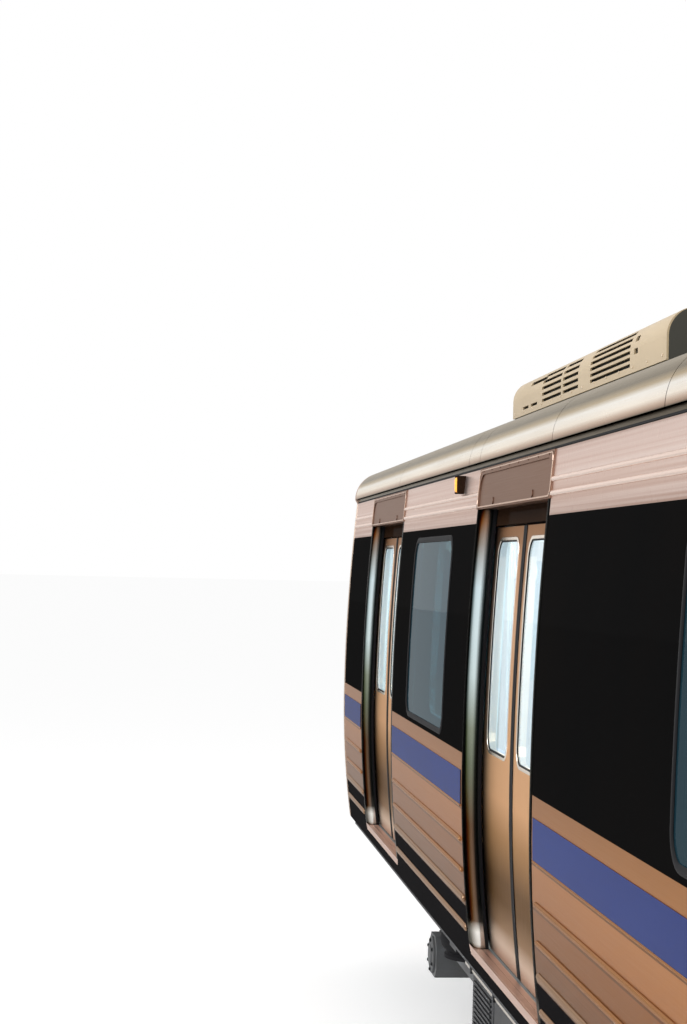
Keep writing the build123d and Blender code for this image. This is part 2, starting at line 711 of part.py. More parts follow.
def saloon():
    panels = []
    for start, end in BAYS:
        panel = wall_piece(start, end, FLOOR_Z, CEILING_Z, LINING_INSET, LINING_INSET + LINING)
        centre = (start + end) / 2
        if centre in WINDOW_CENTRES:
            panel = panel - side_cutter(centre, above_rail(WINDOW_BOTTOM), above_rail(WINDOW_TOP),
                                        BAY_WINDOW, WINDOW_CORNER)
        panels.append(panel)
    save("inner_lining", both_sides(panels))
    ceiling_half = half_width(CEILING_Z, LINING_INSET)
    save("ceiling", [block((-WALL_END, WALL_END), (-ceiling_half, ceiling_half),
                           (CEILING_Z, CEILING_Z + CEILING_THICK))])
    strip_ends = (-WALL_END + STRIP_END, WALL_END - STRIP_END)
    strips = [block(strip_ends, (STRIP_Y, STRIP_Y + STRIP_WIDE), (CEILING_Z - STRIP_THICK, CEILING_Z))]
    save("light_strips", both_sides(strips))
    cushions = []
    backs = []
    for start, end in BAYS[1:-1]:
        seat_range = (start + SEAT_END, end - SEAT_END)
        reach = half_width(FLOOR_Z, LINING_INSET + LINING)
        cushions.append(block(seat_range, (reach - SEAT_DEEP, reach), (FLOOR_Z, FLOOR_Z + SEAT_HIGH)))
        backs.append(block(seat_range, (reach - BACK_THICK, reach),
                           (FLOOR_Z + SEAT_HIGH, FLOOR_Z + SEAT_HIGH + BACK_HIGH)))
    save("seats", both_sides(cushions))
    save("seat_backs", both_sides(backs))
    poles = []
    for x in ALL_DOORS:
        for side in (-1, 1):
            place = Pos(x + side * (PORTAL_HALF + POLE_SET), POLE_Y, FLOOR_Z)
            poles.append(place * extrude(RegularPolygon(POLE_RADIUS, POLE_SIDES),
                                         amount=CEILING_Z - FLOOR_Z))
    save("grab_poles", both_sides(poles))


# Bogies
FRAME_Y = 920
FRAME_WIDE = 150
BOX_WIDE = 240
BOX_TALL = 250
BOX_LONG = 300
BOX_OVERLAP = 45
BOX_CAP = 40
FRAME_LOW = 700
FRAME_HIGH = 800
PIVOT_RADIUS = 90
TRANSOM_X = 330
TRANSOM_WIDE = 170
FRAME_DROP = 190
FRAME_KNEE = 380
FRAME_FOOT = 620
FRAME_TIP = 210
CENTRE_HALF = 180
BOX_EDGE = 60
SPRING_RADIUS = 75
SPRING_SIDES = 12


def bogie_frame():
    half = AXLE_SPACING / 2
    low = above_rail(FRAME_LOW)
    high = above_rail(FRAME_HIGH)
    places = [(half + FRAME_TIP, 0), (half - FRAME_KNEE, 0), (half - FRAME_FOOT, FRAME_DROP)]
    places += [(-x, drop) for x, drop in places[::-1]]
    lower = [(x, low - drop) for x, drop in places]
    upper = [(x, high - drop) for x, drop in places[::-1]]
    outline = Plane.XZ * Polygon(*(lower + upper), align=None)
    side = Pos(0, FRAME_Y, 0) * extrude(outline, amount=FRAME_WIDE, dir=(0, 1, 0))
    beams = both_sides([side])
    height = (low - FRAME_DROP, high - FRAME_DROP)
    for end in (-1, 1):
        x = end * TRANSOM_X
        beams.append(block((x - TRANSOM_WIDE / 2, x + TRANSOM_WIDE / 2), (-FRAME_Y, FRAME_Y), height))
    centre = block((-TRANSOM_X, TRANSOM_X), (-CENTRE_HALF, CENTRE_HALF), height)
    frame = beams[0].fuse(*beams[1:], centre)
    return frame - Pos(0, 0, low) * running_bore(PIVOT_RADIUS, 4 * FRAME_DROP)


def axle_boxes():
    """Boxes over the journals, with rubber springs up to the frame."""
    low = AXLE_Z - BOX_TALL / 2
    back = FRAME_Y - BOX_OVERLAP
    boxes = []
    for end in (-1, 1):
        x = end * AXLE_SPACING / 2
        box = block((x - BOX_LONG / 2, x + BOX_LONG / 2), (back, back + BOX_WIDE), (low, low + BOX_TALL))
        box = chamfer(box.edges().filter_by(Axis.Y), BOX_EDGE)
        depth = BOX_WIDE - BOX_CAP
        hole = Pos(x, back + depth / 2, AXLE_Z) * Rot(90, 0, 0) * running_bore(JOURNAL_RADIUS, depth)
        box = box - hole
        spring_low = low + BOX_TALL
        spring_high = above_rail(FRAME_LOW)
        spring = Pos(x, FRAME_Y + FRAME_WIDE / 2, spring_low) * extrude(
            RegularPolygon(SPRING_RADIUS, SPRING_SIDES), amount=spring_high - spring_low)
        boxes.append(box + spring)
    return both_sides(boxes)


def wheel_disc(radius, y_low, y_high, sides=WHEEL_SIDES):
    """A many-sided disc about the Y axis that stands on one of its flats."""
    outline = Rot(0, 0, 180 / sides) * RegularPolygon(radius, sides, major_radius=False)
    return Pos(0, y_low, 0) * extrude(Plane.XZ * outline, amount=y_high - y_low, dir=(0, 1, 0))


def wheel():
    """One wheel about the Y axis, its back face at Y = 0 and its tread towards +Y."""
    flange = wheel_disc(WHEEL_RADIUS + FLANGE_HEIGHT, 0, FLANGE_WIDTH)
    tread = wheel_disc(WHEEL_RADIUS, 0, WHEEL_WIDTH)
    dish = wheel_disc(WHEEL_RADIUS - WHEEL_RIM, WHEEL_WEB, WHEEL_WIDTH)
    hub = wheel_disc(HUB_RADIUS, 0, WHEEL_WIDTH + HUB_PROUD, WHEEL_SIDES // 2)
    return flange + tread - dish + hub


WHEEL_BACK = GAUGE / 2 - GAUGE_PLAY - FLANGE_WIDTH
JOURNAL_SHORT = 30


def wheelset():
    """An axle and its two wheels, about the Y axis."""
    journal_end = FRAME_Y - BOX_OVERLAP + BOX_WIDE - BOX_CAP - JOURNAL_SHORT
    hub_end = WHEEL_BACK + WHEEL_WIDTH + 2 * HUB_PROUD
    axle = wheel_disc(AXLE_RADIUS, -hub_end, hub_end, POLE_SIDES)
    journal = Rot(90, 0, 0) * turned_pin(JOURNAL_RADIUS, 2 * journal_end)
    right = Pos(0, WHEEL_BACK, 0) * wheel()
    left = mirror(right, about=Plane.XZ)
    return axle.fuse(journal, right, left)


AIR_SPRING_RADIUS = 230
AIR_SPRING_GAP = 6
AIR_SPRING_SIDES = 20
AIR_SPRING_EDGE = 50
MOTOR_X = 665
MOTOR_RADIUS = 215
MOTOR_SIDES = 12
MOTOR_LENGTH = 640
MOTOR_FOOT = 160
MOTOR_RAISE = 100


def bogies():
    frame = bogie_frame()
    boxes = axle_boxes()
    pair = wheelset()
    seat = above_rail(FRAME_HIGH) - FRAME_DROP
    top = SOLE_BOTTOM - AIR_SPRING_GAP
    bag = Pos(0, FRAME_Y + FRAME_WIDE / 2, seat) * extrude(
        RegularPolygon(AIR_SPRING_RADIUS, AIR_SPRING_SIDES), amount=top - seat)
    bag = chamfer(bag.edges().group_by(Axis.Z)[0] + bag.edges().group_by(Axis.Z)[-1], AIR_SPRING_EDGE)
    motor = wheel_disc(MOTOR_RADIUS, -MOTOR_LENGTH / 2, MOTOR_LENGTH / 2, MOTOR_SIDES)
    nose = MOTOR_X - TRANSOM_X - TRANSOM_WIDE / 2
    foot = block((-nose, 0), (-MOTOR_LENGTH / 4, MOTOR_LENGTH / 4), (-MOTOR_FOOT / 2, MOTOR_FOOT / 2))
    motor = Pos(MOTOR_X, 0, AXLE_Z + MOTOR_RAISE) * (motor + foot)
    for name, centre, first in (("front", PIVOT_X, 1), ("rear", -PIVOT_X, 3)):
        here = Pos(centre, 0, 0)
        save(f"bogie_frame_{name}", [here * frame])
        save(f"axle_boxes_{name}", [here * box for box in boxes])
        save(f"air_springs_{name}", [here * spring for spring in both_sides([bag])])
        save(f"traction_motors_{name}", [here * drive for drive in both_ends([motor])])
        for number, end in ((first, 1), (first + 1, -1)):
            save(f"wheelset_{number}", [Pos(centre + end * AXLE_SPACING / 2, 0, AXLE_Z) * pair])
    pin_low = above_rail(FRAME_LOW) - FRAME_DROP
    pins = []
    for centre in (PIVOT_X, -PIVOT_X):
        length = SOLE_BOTTOM - pin_low
        pins.append(Pos(centre, 0, pin_low + length / 2) * turned_pin(PIVOT_RADIUS, length))
    save("centre_pivots", pins)


# Couplers: a swinging bar with a bolted face, pinned in a pocket under each end
COUPLER_PIN_SET = 440
COUPLER_PIN_X = BODY_END - COUPLER_PIN_SET
COUPLER_PIN_RADIUS = 35
COUPLER_EYE = 120
COUPLER_SIDES = 24
COUPLER_TALL = 110
COUPLER_FACE = 340
COUPLER_FACE_THICK = 40
COUPLER_BOLTS = 8
COUPLER_PCD = 270
COUPLER_BOLT_RADIUS = 13
COUPLER_BAR_HALF = 75
POCKET_HALF = 160
POCKET_FRONT = 130
POCKET_REAR = 180
POCKET_WEB = 80
POCKET_STEP = 40
FORK_THICK = 40
FORK_GAP = 0.5


def couplers():
    z = above_rail(COUPLER_HEIGHT)
    tip = BODY_END + COUPLER_REACH
    eye = Pos(COUPLER_PIN_X, 0, z - COUPLER_TALL / 2) * extrude(
        RegularPolygon(COUPLER_EYE, COUPLER_SIDES), amount=COUPLER_TALL)
    bar = block((COUPLER_PIN_X, tip - COUPLER_FACE_THICK), (-COUPLER_BAR_HALF, COUPLER_BAR_HALF),
                (z - COUPLER_TALL / 2, z + COUPLER_TALL / 2))
    outline = Plane.YZ * Pos(0, z) * RegularPolygon(COUPLER_FACE / 2, COUPLER_SIDES)
    face = Pos(tip - COUPLER_FACE_THICK, 0, 0) * extrude(outline, amount=COUPLER_FACE_THICK)
    bar = eye + bar + face
    bar = bar - Pos(COUPLER_PIN_X, 0, z) * running_bore(COUPLER_PIN_RADIUS, 2 * COUPLER_TALL)
    for number in range(COUPLER_BOLTS):
        angle = radians((number + 0.5) * 360 / COUPLER_BOLTS)
        place = Pos(tip, COUPLER_PCD / 2 * cos(angle), z + COUPLER_PCD / 2 * sin(angle))
        bar = bar - place * Rot(0, 90, 0) * Cylinder(COUPLER_BOLT_RADIUS, 4 * COUPLER_FACE_THICK)
    save("coupler_front", [bar])
    save("coupler_rear", [mirror(bar, about=Plane.YZ)])
    half = COUPLER_TALL / 2 + FORK_GAP
    reach = (COUPLER_PIN_X - POCKET_REAR, COUPLER_PIN_X + POCKET_FRONT)
    web = (reach[0] - POCKET_STEP, reach[0] - POCKET_STEP + POCKET_WEB)
    wide = (-POCKET_HALF, POCKET_HALF)
    upper = block(reach, wide, (z + half, SOLE_BOTTOM))
    lower = block(reach, wide, (z - half - FORK_THICK, z - half))
    back = block(web, wide, (z - half - FORK_THICK, SOLE_BOTTOM))
    pin = Pos(COUPLER_PIN_X, 0, z) * turned_pin(COUPLER_PIN_RADIUS, COUPLER_TALL + FORK_THICK)
    save("coupler_pockets", both_ends([upper.fuse(lower, back, pin)]))


# Underfloor equipment, as (start and end as shares of the room between the bogies, inner Y, outer Y,
# bottom's height above the rail)
EQUIPMENT_SET = 1800
EQUIPMENT_HALF = PIVOT_X - EQUIPMENT_SET
CASES = (
    (-1.00, -0.67, 480, 1330, 430),
    (-0.64, -0.20, 620, 1330, 380),
    (-0.17, 0.26, 560, 1330, 430),
    (0.29, 0.59, 700, 1330, 480),
    (0.62, 1.00, 480, 1330, 400),
)
TANK_RADIUS = 170
TANK_LENGTH = 1600
TANK_SIDES = 12
CASE_EDGE = 40
HANGER_DROP = 30
HANGER_LONG = 50
HANGER_WIDE = 120
TANK_PLACE = 1.5 * BEARER_PITCH


def equipment():
    pieces = []
    for start, end, inner, outer, low in CASES:
        case = block((start * EQUIPMENT_HALF, end * EQUIPMENT_HALF), (inner, outer),
                     (above_rail(low), SOLE_BOTTOM))
        lower_edges = case.edges().filter_by(Axis.X).group_by(Axis.Z)[0]
        pieces.append(chamfer(lower_edges, CASE_EDGE))
    outline = Plane.YZ * RegularPolygon(TANK_RADIUS, TANK_SIDES)
    tank = Pos(-TANK_LENGTH / 2, 0, 0) * extrude(outline, amount=TANK_LENGTH)
    tank = chamfer(tank.edges().group_by(Axis.X)[0] + tank.edges().group_by(Axis.X)[-1], TANK_RADIUS / 3)
    z = SOLE_BOTTOM - TANK_RADIUS - HANGER_DROP
    hangers = [block((x - HANGER_LONG / 2, x + HANGER_LONG / 2), (-HANGER_WIDE / 2, HANGER_WIDE / 2),
                     (z, SOLE_BOTTOM)) for x in (-BEARER_PITCH / 2, BEARER_PITCH / 2)]
    whole = (Pos(0, 0, z) * tank).fuse(*hangers)
    tanks = [Pos(end * TANK_PLACE, 0, 0) * whole for end in (-1, 1)]
    save("underfloor_equipment", both_sides(pieces) + tanks)


underframe()
floor()
skirts()
lower_panels()
window_panels()
windows()
cant_panels()
portals()
door_headers()
door_leaves()
cant_rails()
roof()
ac_units()
end_walls()
end_doors()
saloon()
bogies()
couplers()
equipment()
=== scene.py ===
# %% [markdown]
# # A stainless-steel metro car
# The car's solids come from its CAD source, already in place and in metres: +X runs along the
# car, +Y to its left, and Z = 0 lies at the tips of the wheel flanges. This file gives each solid
# its finish and adds what is too fine for the CAD: rubber seals, trims, screws, louvres and straps.

from math import atan2, cos, pi, radians, sin, sqrt

import bpy
import bmesh
from mathutils import Matrix, Vector


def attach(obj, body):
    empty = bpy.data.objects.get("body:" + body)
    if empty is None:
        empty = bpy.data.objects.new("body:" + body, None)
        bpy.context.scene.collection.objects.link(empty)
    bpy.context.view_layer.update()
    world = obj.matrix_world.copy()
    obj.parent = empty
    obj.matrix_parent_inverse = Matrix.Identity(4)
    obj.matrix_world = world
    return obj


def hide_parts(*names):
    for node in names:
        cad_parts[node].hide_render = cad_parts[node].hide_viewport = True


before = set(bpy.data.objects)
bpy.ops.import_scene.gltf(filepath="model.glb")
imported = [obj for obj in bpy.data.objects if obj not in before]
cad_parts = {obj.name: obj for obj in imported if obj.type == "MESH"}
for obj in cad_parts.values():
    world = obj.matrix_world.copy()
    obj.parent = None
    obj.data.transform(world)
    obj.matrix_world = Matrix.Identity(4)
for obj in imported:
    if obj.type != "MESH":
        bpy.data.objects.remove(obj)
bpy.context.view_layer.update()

# %% [markdown]
# ## Main sizes
# The side walls bow outward: they are widest at the waist, just above the window sills, and curve
# in with a large radius above it and a smaller one below. Everything that sits on a wall follows
# the same curve, so one function gives the wall's half width at a height, and every trim uses it.

# %% Main sizes, in metres
RAIL = 0.028
WAIST_Z = RAIL + 1.900
WAIST_HALF = 1.480
LOWER_RADIUS = 6.400
UPPER_RADIUS = 13.800
WALL_END = 9.940
BODY_END = 10.000
FLOOR_Z = RAIL + 1.100
WINDOW_LOW = RAIL + 2.000
WINDOW_HIGH = RAIL + 2.950
BAND_HIGH = RAIL + 3.006
CANT_HIGH = RAIL + 3.255
GUTTER_HIGH = RAIL + 3.285
CREST = RAIL + 3.620
DOORS = (-7.950, -3.570, 3.570, 7.950)
PORTAL_HALF = 0.855
DOOR_HIGH = RAIL + 3.070
CLEAR_HALF = 0.710
LEAF_INSET = 0.075
LEAF_MEETING = 0.005
LEAF_WIDTH = 0.720
BAY_WINDOWS = (-5.760, 0.0, 5.760)
SIDES = (("left", 1), ("right", -1))
ENDS = (("front", 1), ("rear", -1))
edges = sorted(x + way * PORTAL_HALF for x in DOORS for way in (-1, 1))
BAYS = list(zip([-WALL_END] + edges[1::2], edges[0::2] + [WALL_END]))


def bow(z, inset=0.0):
    """The wall's half width at a height, measured to a surface some way behind its face."""
    radius = LOWER_RADIUS if z < WAIST_Z else UPPER_RADIUS
    return WAIST_HALF - radius + sqrt((radius - inset) ** 2 - (z - WAIST_Z) ** 2)


print("bays", [(round(start, 3), round(end, 3)) for start, end in BAYS])

# %% [markdown]
# ## Building blocks for meshes
# A shape gathers corners and faces, and becomes one object with its normals turned outward. Nearly
# every trim is a section carried along a path, so one function joins rings of corners into a skin.
# Rounded corners are shaded smooth, and edges sharper than a limit stay crisp, as on pressed metal.

# %% Shapes
SMOOTH_LIMIT = radians(34)


class Shape:
    """Corners and faces of one closed mesh or several."""

    def __init__(self):
        self.corners = []
        self.faces = []

    def add(self, corners, faces):
        first = len(self.corners)
        self.corners += [tuple(corner) for corner in corners]
        self.faces += [tuple(first + number for number in face) for face in faces]


def tube(shape, rings, closed=False):
    """Join rings of as many corners each into a skin, capped at both ends unless it closes on itself."""
    count = len(rings[0])
    corners = [corner for ring in rings for corner in ring]
    faces = []
    steps = len(rings) if closed else len(rings) - 1
    for step in range(steps):
        here = step * count
        there = ((step + 1) % len(rings)) * count
        for number in range(count):
            after = (number + 1) % count
            faces.append((here + number, here + after, there + after, there + number))
    if not closed:
        faces.append(tuple(range(count))[::-1])
        faces.append(tuple(range(len(corners) - count, len(corners))))
    shape.add(corners, faces)


def box(shape, low, high):
    """A plain box between two corners, for hidden backings and slats."""
    sides = ((low[0], low[1]), (high[0], low[1]), (high[0], high[1]), (low[0], high[1]))
    tube(shape, [[(x, y, z) for x, y in sides] for z in (low[2], high[2])])


def finish_mesh(name, shape, material):
    """An object from a shape, with outward normals and smooth shading below the limit."""
    mesh = bpy.data.meshes.new(name)
    mesh.from_pydata(shape.corners, [], shape.faces)
    solid = bmesh.new()
    solid.from_mesh(mesh)
    bmesh.ops.recalc_face_normals(solid, faces=solid.faces)
    solid.to_mesh(mesh)
    solid.free()
    mesh.shade_smooth()
    mesh.set_sharp_from_angle(angle=SMOOTH_LIMIT)
    mesh.materials.append(material)
    thing = bpy.data.objects.new(name, mesh)
    bpy.context.scene.collection.objects.link(thing)
    return thing


def piece(name, shape, material, body="carbody", replaces=()):
    """A finished piece that rides on a body."""
    thing = finish_mesh(name, shape, material)
    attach(thing, body)
    if replaces:
        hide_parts(*replaces)
    return thing


print("edges stay crisp above", round(SMOOTH_LIMIT, 3), "radians")

# %% [markdown]
# ## Rounded outlines on the curved wall
# A window seal is an extrusion of rubber bent round the opening. The same loop of points, pushed out
# or in and set at several depths, gives seals, bright edgings and panes that follow the wall's bow.

# %% Loops round a window
CORNER_STEPS = 10
SIDE_STEPS = 10


def loop(centre, low, high, width, corner, grow=0.0):
    """Points of a rounded rectangle as (along the wall, height), grown by a distance."""
    corner = corner + grow
    across = width / 2 + grow - corner
    middle = (low + high) / 2
    up = (high - low) / 2 + grow - corner
    points = []
    for number, (right, top) in enumerate(((1, 1), (-1, 1), (-1, -1), (1, -1))):
        for step in range(CORNER_STEPS + 1):
            angle = (number + step / CORNER_STEPS) * pi / 2
            points.append((centre + right * across + corner * cos(angle),
                           middle + top * up + corner * sin(angle)))
        if right == top:
            continue
        for step in range(1, SIDE_STEPS):
            share = 1 - 2 * step / SIDE_STEPS
            points.append((centre + right * (across + corner), middle + top * up * share))
    return points


def on_side(side):
    """Place a loop's point on a side wall, some way behind its face."""
    return lambda along, z, inset: (along, side * bow(z, inset), z)


def on_plane(x, way):
    """Place a loop's point on a flat end face, some way behind it."""
    return lambda along, z, inset: (x - way * inset, along, z)


def seal(shape, outline, profile, place):
    """Bend a closed profile of (grow, inset) points round an outline's sizes."""
    rings = []
    for grow, inset in profile:
        rings.append([place(along, z, inset) for along, z in loop(*outline, grow)])
    tube(shape, rings, closed=True)


def pane(shape, outline, front, back, place):
    """A sheet that fills an outline, in rows so that it follows the bow."""
    points = loop(*outline)
    half = len(points) // 2
    top = CORNER_STEPS + 1
    left = points[top:top + half]
    right = (points[top + half:] + points[:top])[::-1]
    rings = []
    for one, two in zip(left, right):
        rings.append([place(*one, front), place(*two, front), place(*two, back), place(*one, back)])
    tube(shape, rings)


def round_profile(grow, inset, wide, deep, steps=10):
    """A rounded section as (grow, inset) points about its middle."""
    return [(grow + wide / 2 * cos(2 * pi * step / steps), inset + deep / 2 * sin(2 * pi * step / steps))
            for step in range(steps)]


def flat_profile(grow_low, grow_high, inset_low, inset_high, edge=0.0015):
    """A rectangular section with its two front edges eased."""
    return [(grow_low, inset_high), (grow_low, inset_low + edge), (grow_low + edge, inset_low),
            (grow_high - edge, inset_low), (grow_high, inset_low + edge), (grow_high, inset_high)]


print("points in a loop", len(loop(0.0, 0.0, 1.0, 1.0, 0.1)))

# %% [markdown]
# ## Nodes for finishes
# Colours are written as the sRGB values that a paint chart gives, and one function turns them into
# the linear values that the renderer needs. Another adds any node with its settings and links and
# gives back one of its outputs, so that nodes can be fed into each other. Patterns take their sizes
# in millimetres from the real surface.

# %% Nodes
MATH, MIX, RANGE, BUMP = "ShaderNodeMath", "ShaderNodeMix", "ShaderNodeMapRange", "ShaderNodeBump"
SURFACE, OUTPUT = "ShaderNodeBsdfPrincipled", "ShaderNodeOutputMaterial"
# The mix node's sockets that carry colours
FACTOR, ONE, TWO, MIXED = 0, 6, 7, 2


def linear(code):
    """A linear colour from an sRGB hex code."""
    values = []
    for start in (1, 3, 5):
        value = int(code[start:start + 2], 16) / 255
        values.append(value / 12.92 if value <= 0.04045 else ((value + 0.055) / 1.055) ** 2.4)
    return (*values, 1.0)


def add(tree, kind, feeds=None, output=0, **settings):
    """Add a node, set its properties, feed its inputs from values or sockets, and give an output back."""
    made = tree.nodes.new(kind)
    for name, value in settings.items():
        setattr(made, name, value)
    for name, value in (feeds or {}).items():
        for source in value if isinstance(value, list) else [value]:
            if isinstance(source, bpy.types.NodeSocket):
                tree.links.new(source, made.inputs[name])
            else:
                made.inputs[name].default_value = source
    return made.outputs[output] if made.outputs else None


def new_material(name):
    """An empty material, its node tree and its object coordinates."""
    made = bpy.data.materials.new(name)
    made.use_nodes = True
    tree = made.node_tree
    tree.nodes.clear()
    return made, tree, add(tree, "ShaderNodeTexCoord", output="Object")


def mottle(tree, place, sizes, detail=4.0):
    """Irregular spots, clouds or grain lines with a size in millimetres along X, Y and Z."""
    per_metre = tuple(1000 / size for size in sizes)
    spot = add(tree, "ShaderNodeVectorMath", {0: place, 1: per_metre}, operation="MULTIPLY")
    return add(tree, "ShaderNodeTexNoise", {"Vector": spot, "Scale": 1.0, "Detail": detail}, "Fac")


print("middle grey in linear values", [round(value, 3) for value in linear("#808080")])

# %% [markdown]
# ## Metal finishes
# The body is austenitic stainless steel, rolled with a fine grain that runs along the car. The grain
# stretches reflections, so it is made as noise that is long along X and very fine across it. A broad
# second noise gives the faint clouds that washing and handling leave. A dusty sheet also keeps much
# of its own colour at a glancing view, which the edge tint gives.

# %% Metals
GLANCING = (1 - cos(radians(82))) ** 5
KEEP = 0.62
ROLLED_GRAIN = (417, 5.56, 1.515)
WASHED_CLOUDS = (1176, 588, 420)


def glancing_tint(code, keep=KEEP):
    """The edge tint that lets a metal keep much of its colour at a glancing view."""
    kept = [value / (value + (1 - value) * GLANCING) for value in linear(code)[:3]]
    return (*[keep * value + 1 - keep for value in kept], 1.0)


def brushed(name, colour, shade, roughness):
    """Rolled or brushed sheet metal with its grain along X."""
    made, tree, place = new_material(name)
    lines = mottle(tree, place, ROLLED_GRAIN, 6.0)
    clouds = add(tree, RANGE, {"Value": mottle(tree, place, WASHED_CLOUDS, 3.0), "To Max": 0.8})
    tone = add(tree, MIX, {FACTOR: clouds, ONE: linear(colour), TWO: linear(shade)}, MIXED, data_type="RGBA")
    add(tree, OUTPUT, {"Surface": add(tree, SURFACE, {
        "Base Color": tone, "Metallic": 1.0, "Specular Tint": glancing_tint(shade),
        "Roughness": add(tree, RANGE, {
            "Value": lines, "To Min": roughness - 0.06, "To Max": roughness + 0.10}),
        "Normal": add(tree, BUMP, {"Height": lines, "Distance": 0.00004}),
    })})
    return made


def cast_metal(name, colour, shade, metallic, roughness, grit=11.1, depth=0.0003):
    """Cast, forged or shot-blasted metal, under paint or bare, with its grit in millimetres."""
    made, tree, place = new_material(name)
    pits = mottle(tree, place, (grit, grit, grit), 5.0)
    clouds = mottle(tree, place, (250, 250, 250), 3.0)
    tone = add(tree, MIX, {FACTOR: clouds, ONE: linear(colour), TWO: linear(shade)}, MIXED, data_type="RGBA")
    add(tree, OUTPUT, {"Surface": add(tree, SURFACE, {
        "Base Color": tone, "Metallic": metallic, "Specular Tint": glancing_tint(shade),
        "Roughness": add(tree, RANGE, {
            "Value": clouds, "To Min": roughness - 0.07, "To Max": roughness + 0.10}),
        "Normal": add(tree, BUMP, {"Height": pits, "Distance": depth}),
    })})
    return made


# Austenitic stainless steel sheet, rolled, with a warm cast
stainless = brushed("stainless_sheet", "#D3B9A8", "#B99C8D", 0.30)
# Covers over the doors, in a duller rolled sheet
cover_steel = brushed("stainless_cover", "#947869", "#7C6457", 0.32)
# The same sheet, polished by use
stainless_bright = brushed("stainless_polished", "#EFE6DA", "#DCD2C5", 0.16)
# Worn stainless treads at the door sills
sill_steel = brushed("stainless_sill", "#DEC6BB", "#C2A89B", 0.34)
# Rolled mouldings over the windows, warm like the sheet and a little brighter as a painted highlight
moulding_steel = brushed("stainless_moulding", "#F2E0D6", "#E4CDC0", 0.24)
# Rubbing strips at the foot, scuffed brown
strip_steel = brushed("stainless_rubbing", "#AC8D74", "#92765F", 0.26)
# Folded frames of the covers, lighter than the cover as a painted highlight on their crisp edges
fold_steel = brushed("stainless_fold", "#D6BDAD", "#BFA594", 0.22)
# Crowns of the pressed beads, a little darker than the clean sheet as painted shade
bead_steel = brushed("stainless_bead", "#B0835E", "#976C4A", 0.24)
# Tubular grab poles in satin stainless
pole_steel = brushed("stainless_tube", "#D8D3CB", "#C5BFB5", 0.20)
# Rolled wheel steel as it leaves the mill, a grey-brown scale
wheel_steel = cast_metal("wheel_steel", "#7C7570", "#5E544D", 1.0, 0.42)
# Forged steel coupler bar under dark primer
coupler_steel = cast_metal("coupler_forging", "#3B3B3D", "#2E2E30", 0.3, 0.55)
# Welded bogie frame in grey two-pack paint with brake dust
bogie_paint = cast_metal("bogie_paint", "#5C6064", "#4A4744", 0.0, 0.55, 7.14, 0.0002)
# Underframe in black bitumen paint
underframe_black = cast_metal("underframe_paint", "#26272A", "#1C1D1F", 0.0, 0.50, 6.25, 0.0002)
print("metals", len(bpy.data.materials))

# %% [markdown]
# ## Paints, glass, rubber and plastics
# Paint on metal is sprayed, so it has a faint orange peel. The black window band is glossy, and glass
# is tinted against the sun. The moulded interior is glass-fibre laminate with a plain gel coat.

# %% Paints and plastics
PAINT_CLOUDS = (769, 769, 769)
ORANGE_PEEL = (3.85, 3.85, 3.85)


def paint(name, colour, shade, roughness, peel=0.00006, coat=0.0, level=0.5):
    """Sprayed two-pack paint."""
    made, tree, place = new_material(name)
    clouds = mottle(tree, place, PAINT_CLOUDS)
    tone = add(tree, MIX, {FACTOR: clouds, ONE: linear(colour), TWO: linear(shade)}, MIXED, data_type="RGBA")
    add(tree, OUTPUT, {"Surface": add(tree, SURFACE, {
        "Base Color": tone, "Coat Weight": coat, "Specular IOR Level": level,
        "Roughness": add(tree, RANGE, {
            "Value": clouds, "To Min": roughness - 0.04, "To Max": roughness + 0.06}),
        "Normal": add(tree, BUMP, {"Height": mottle(tree, place, ORANGE_PEEL, 2.0), "Distance": peel}),
    })})
    return made


def rubber(name, colour, roughness):
    """Extruded or moulded black rubber."""
    made, tree, place = new_material(name)
    grain = mottle(tree, place, (1.43, 1.43, 1.43), 2.0)
    add(tree, OUTPUT, {"Surface": add(tree, SURFACE, {
        "Base Color": linear(colour), "Roughness": roughness, "Specular IOR Level": 0.08,
        "Normal": add(tree, BUMP, {"Height": grain, "Distance": 0.0001}),
    })})
    return made


def glass(name, tint, bend, painted_glow):
    """Tinted safety glass, with a painted glow that stands in for the saloon's light seen through it."""
    made, tree, place = new_material(name)
    waves = mottle(tree, place, (500, 500, 500), 1.0)
    # The emission is a painted glow that stands in for the lit saloon behind the glass
    add(tree, OUTPUT, {"Surface": add(tree, SURFACE, {
        "Base Color": linear(tint), "Roughness": 0.0, "IOR": bend, "Transmission Weight": 1.0,
        "Emission Color": linear(tint), "Emission Strength": painted_glow,
        "Normal": add(tree, BUMP, {"Height": waves, "Distance": 0.0004}),
    })})
    return made


def lamp(name, colour, strength):
    """A lit diffuser with a faintly rippled skin."""
    made, tree, place = new_material(name)
    ripple = mottle(tree, place, (33.3, 33.3, 33.3), 1.0)
    add(tree, OUTPUT, {"Surface": add(tree, SURFACE, {
        "Base Color": linear(colour), "Emission Color": linear(colour), "Emission Strength": strength,
        "Roughness": add(tree, RANGE, {"Value": ripple, "To Min": 0.35, "To Max": 0.5}),
    })})
    return made


# Gloss black paint behind the window line
band_black = paint("band_gloss_black", "#070809", "#0D0B0A", 0.10, coat=0.010, level=0.0)
# Satin black paint on the header strips over the doors
header_black = paint("header_black", "#1E140E", "#2B1D14", 0.22, coat=0.02, level=0.0)
# Satin black paint of the skirt
skirt_black = paint("skirt_black", "#0C0B0D", "#131112", 0.35, coat=0.02, level=0.0)
# Roof paint with a non-slip grit, weathered to olive grey
roof_paint = paint("roof_paint", "#6F6A55", "#5E5B4B", 0.55, 0.0004)
# Cream powder coat of the screws on the roof units
cream = paint("unit_cream", "#DFCFBA", "#D3C1AB", 0.42)
# White gel coat of the moulded lining
lining_white = paint("lining_gelcoat", "#E4E4DE", "#D9D9D2", 0.35)
# Blue moulded seats
seat_blue = paint("seat_moulding", "#2F4F8F", "#294680", 0.35)
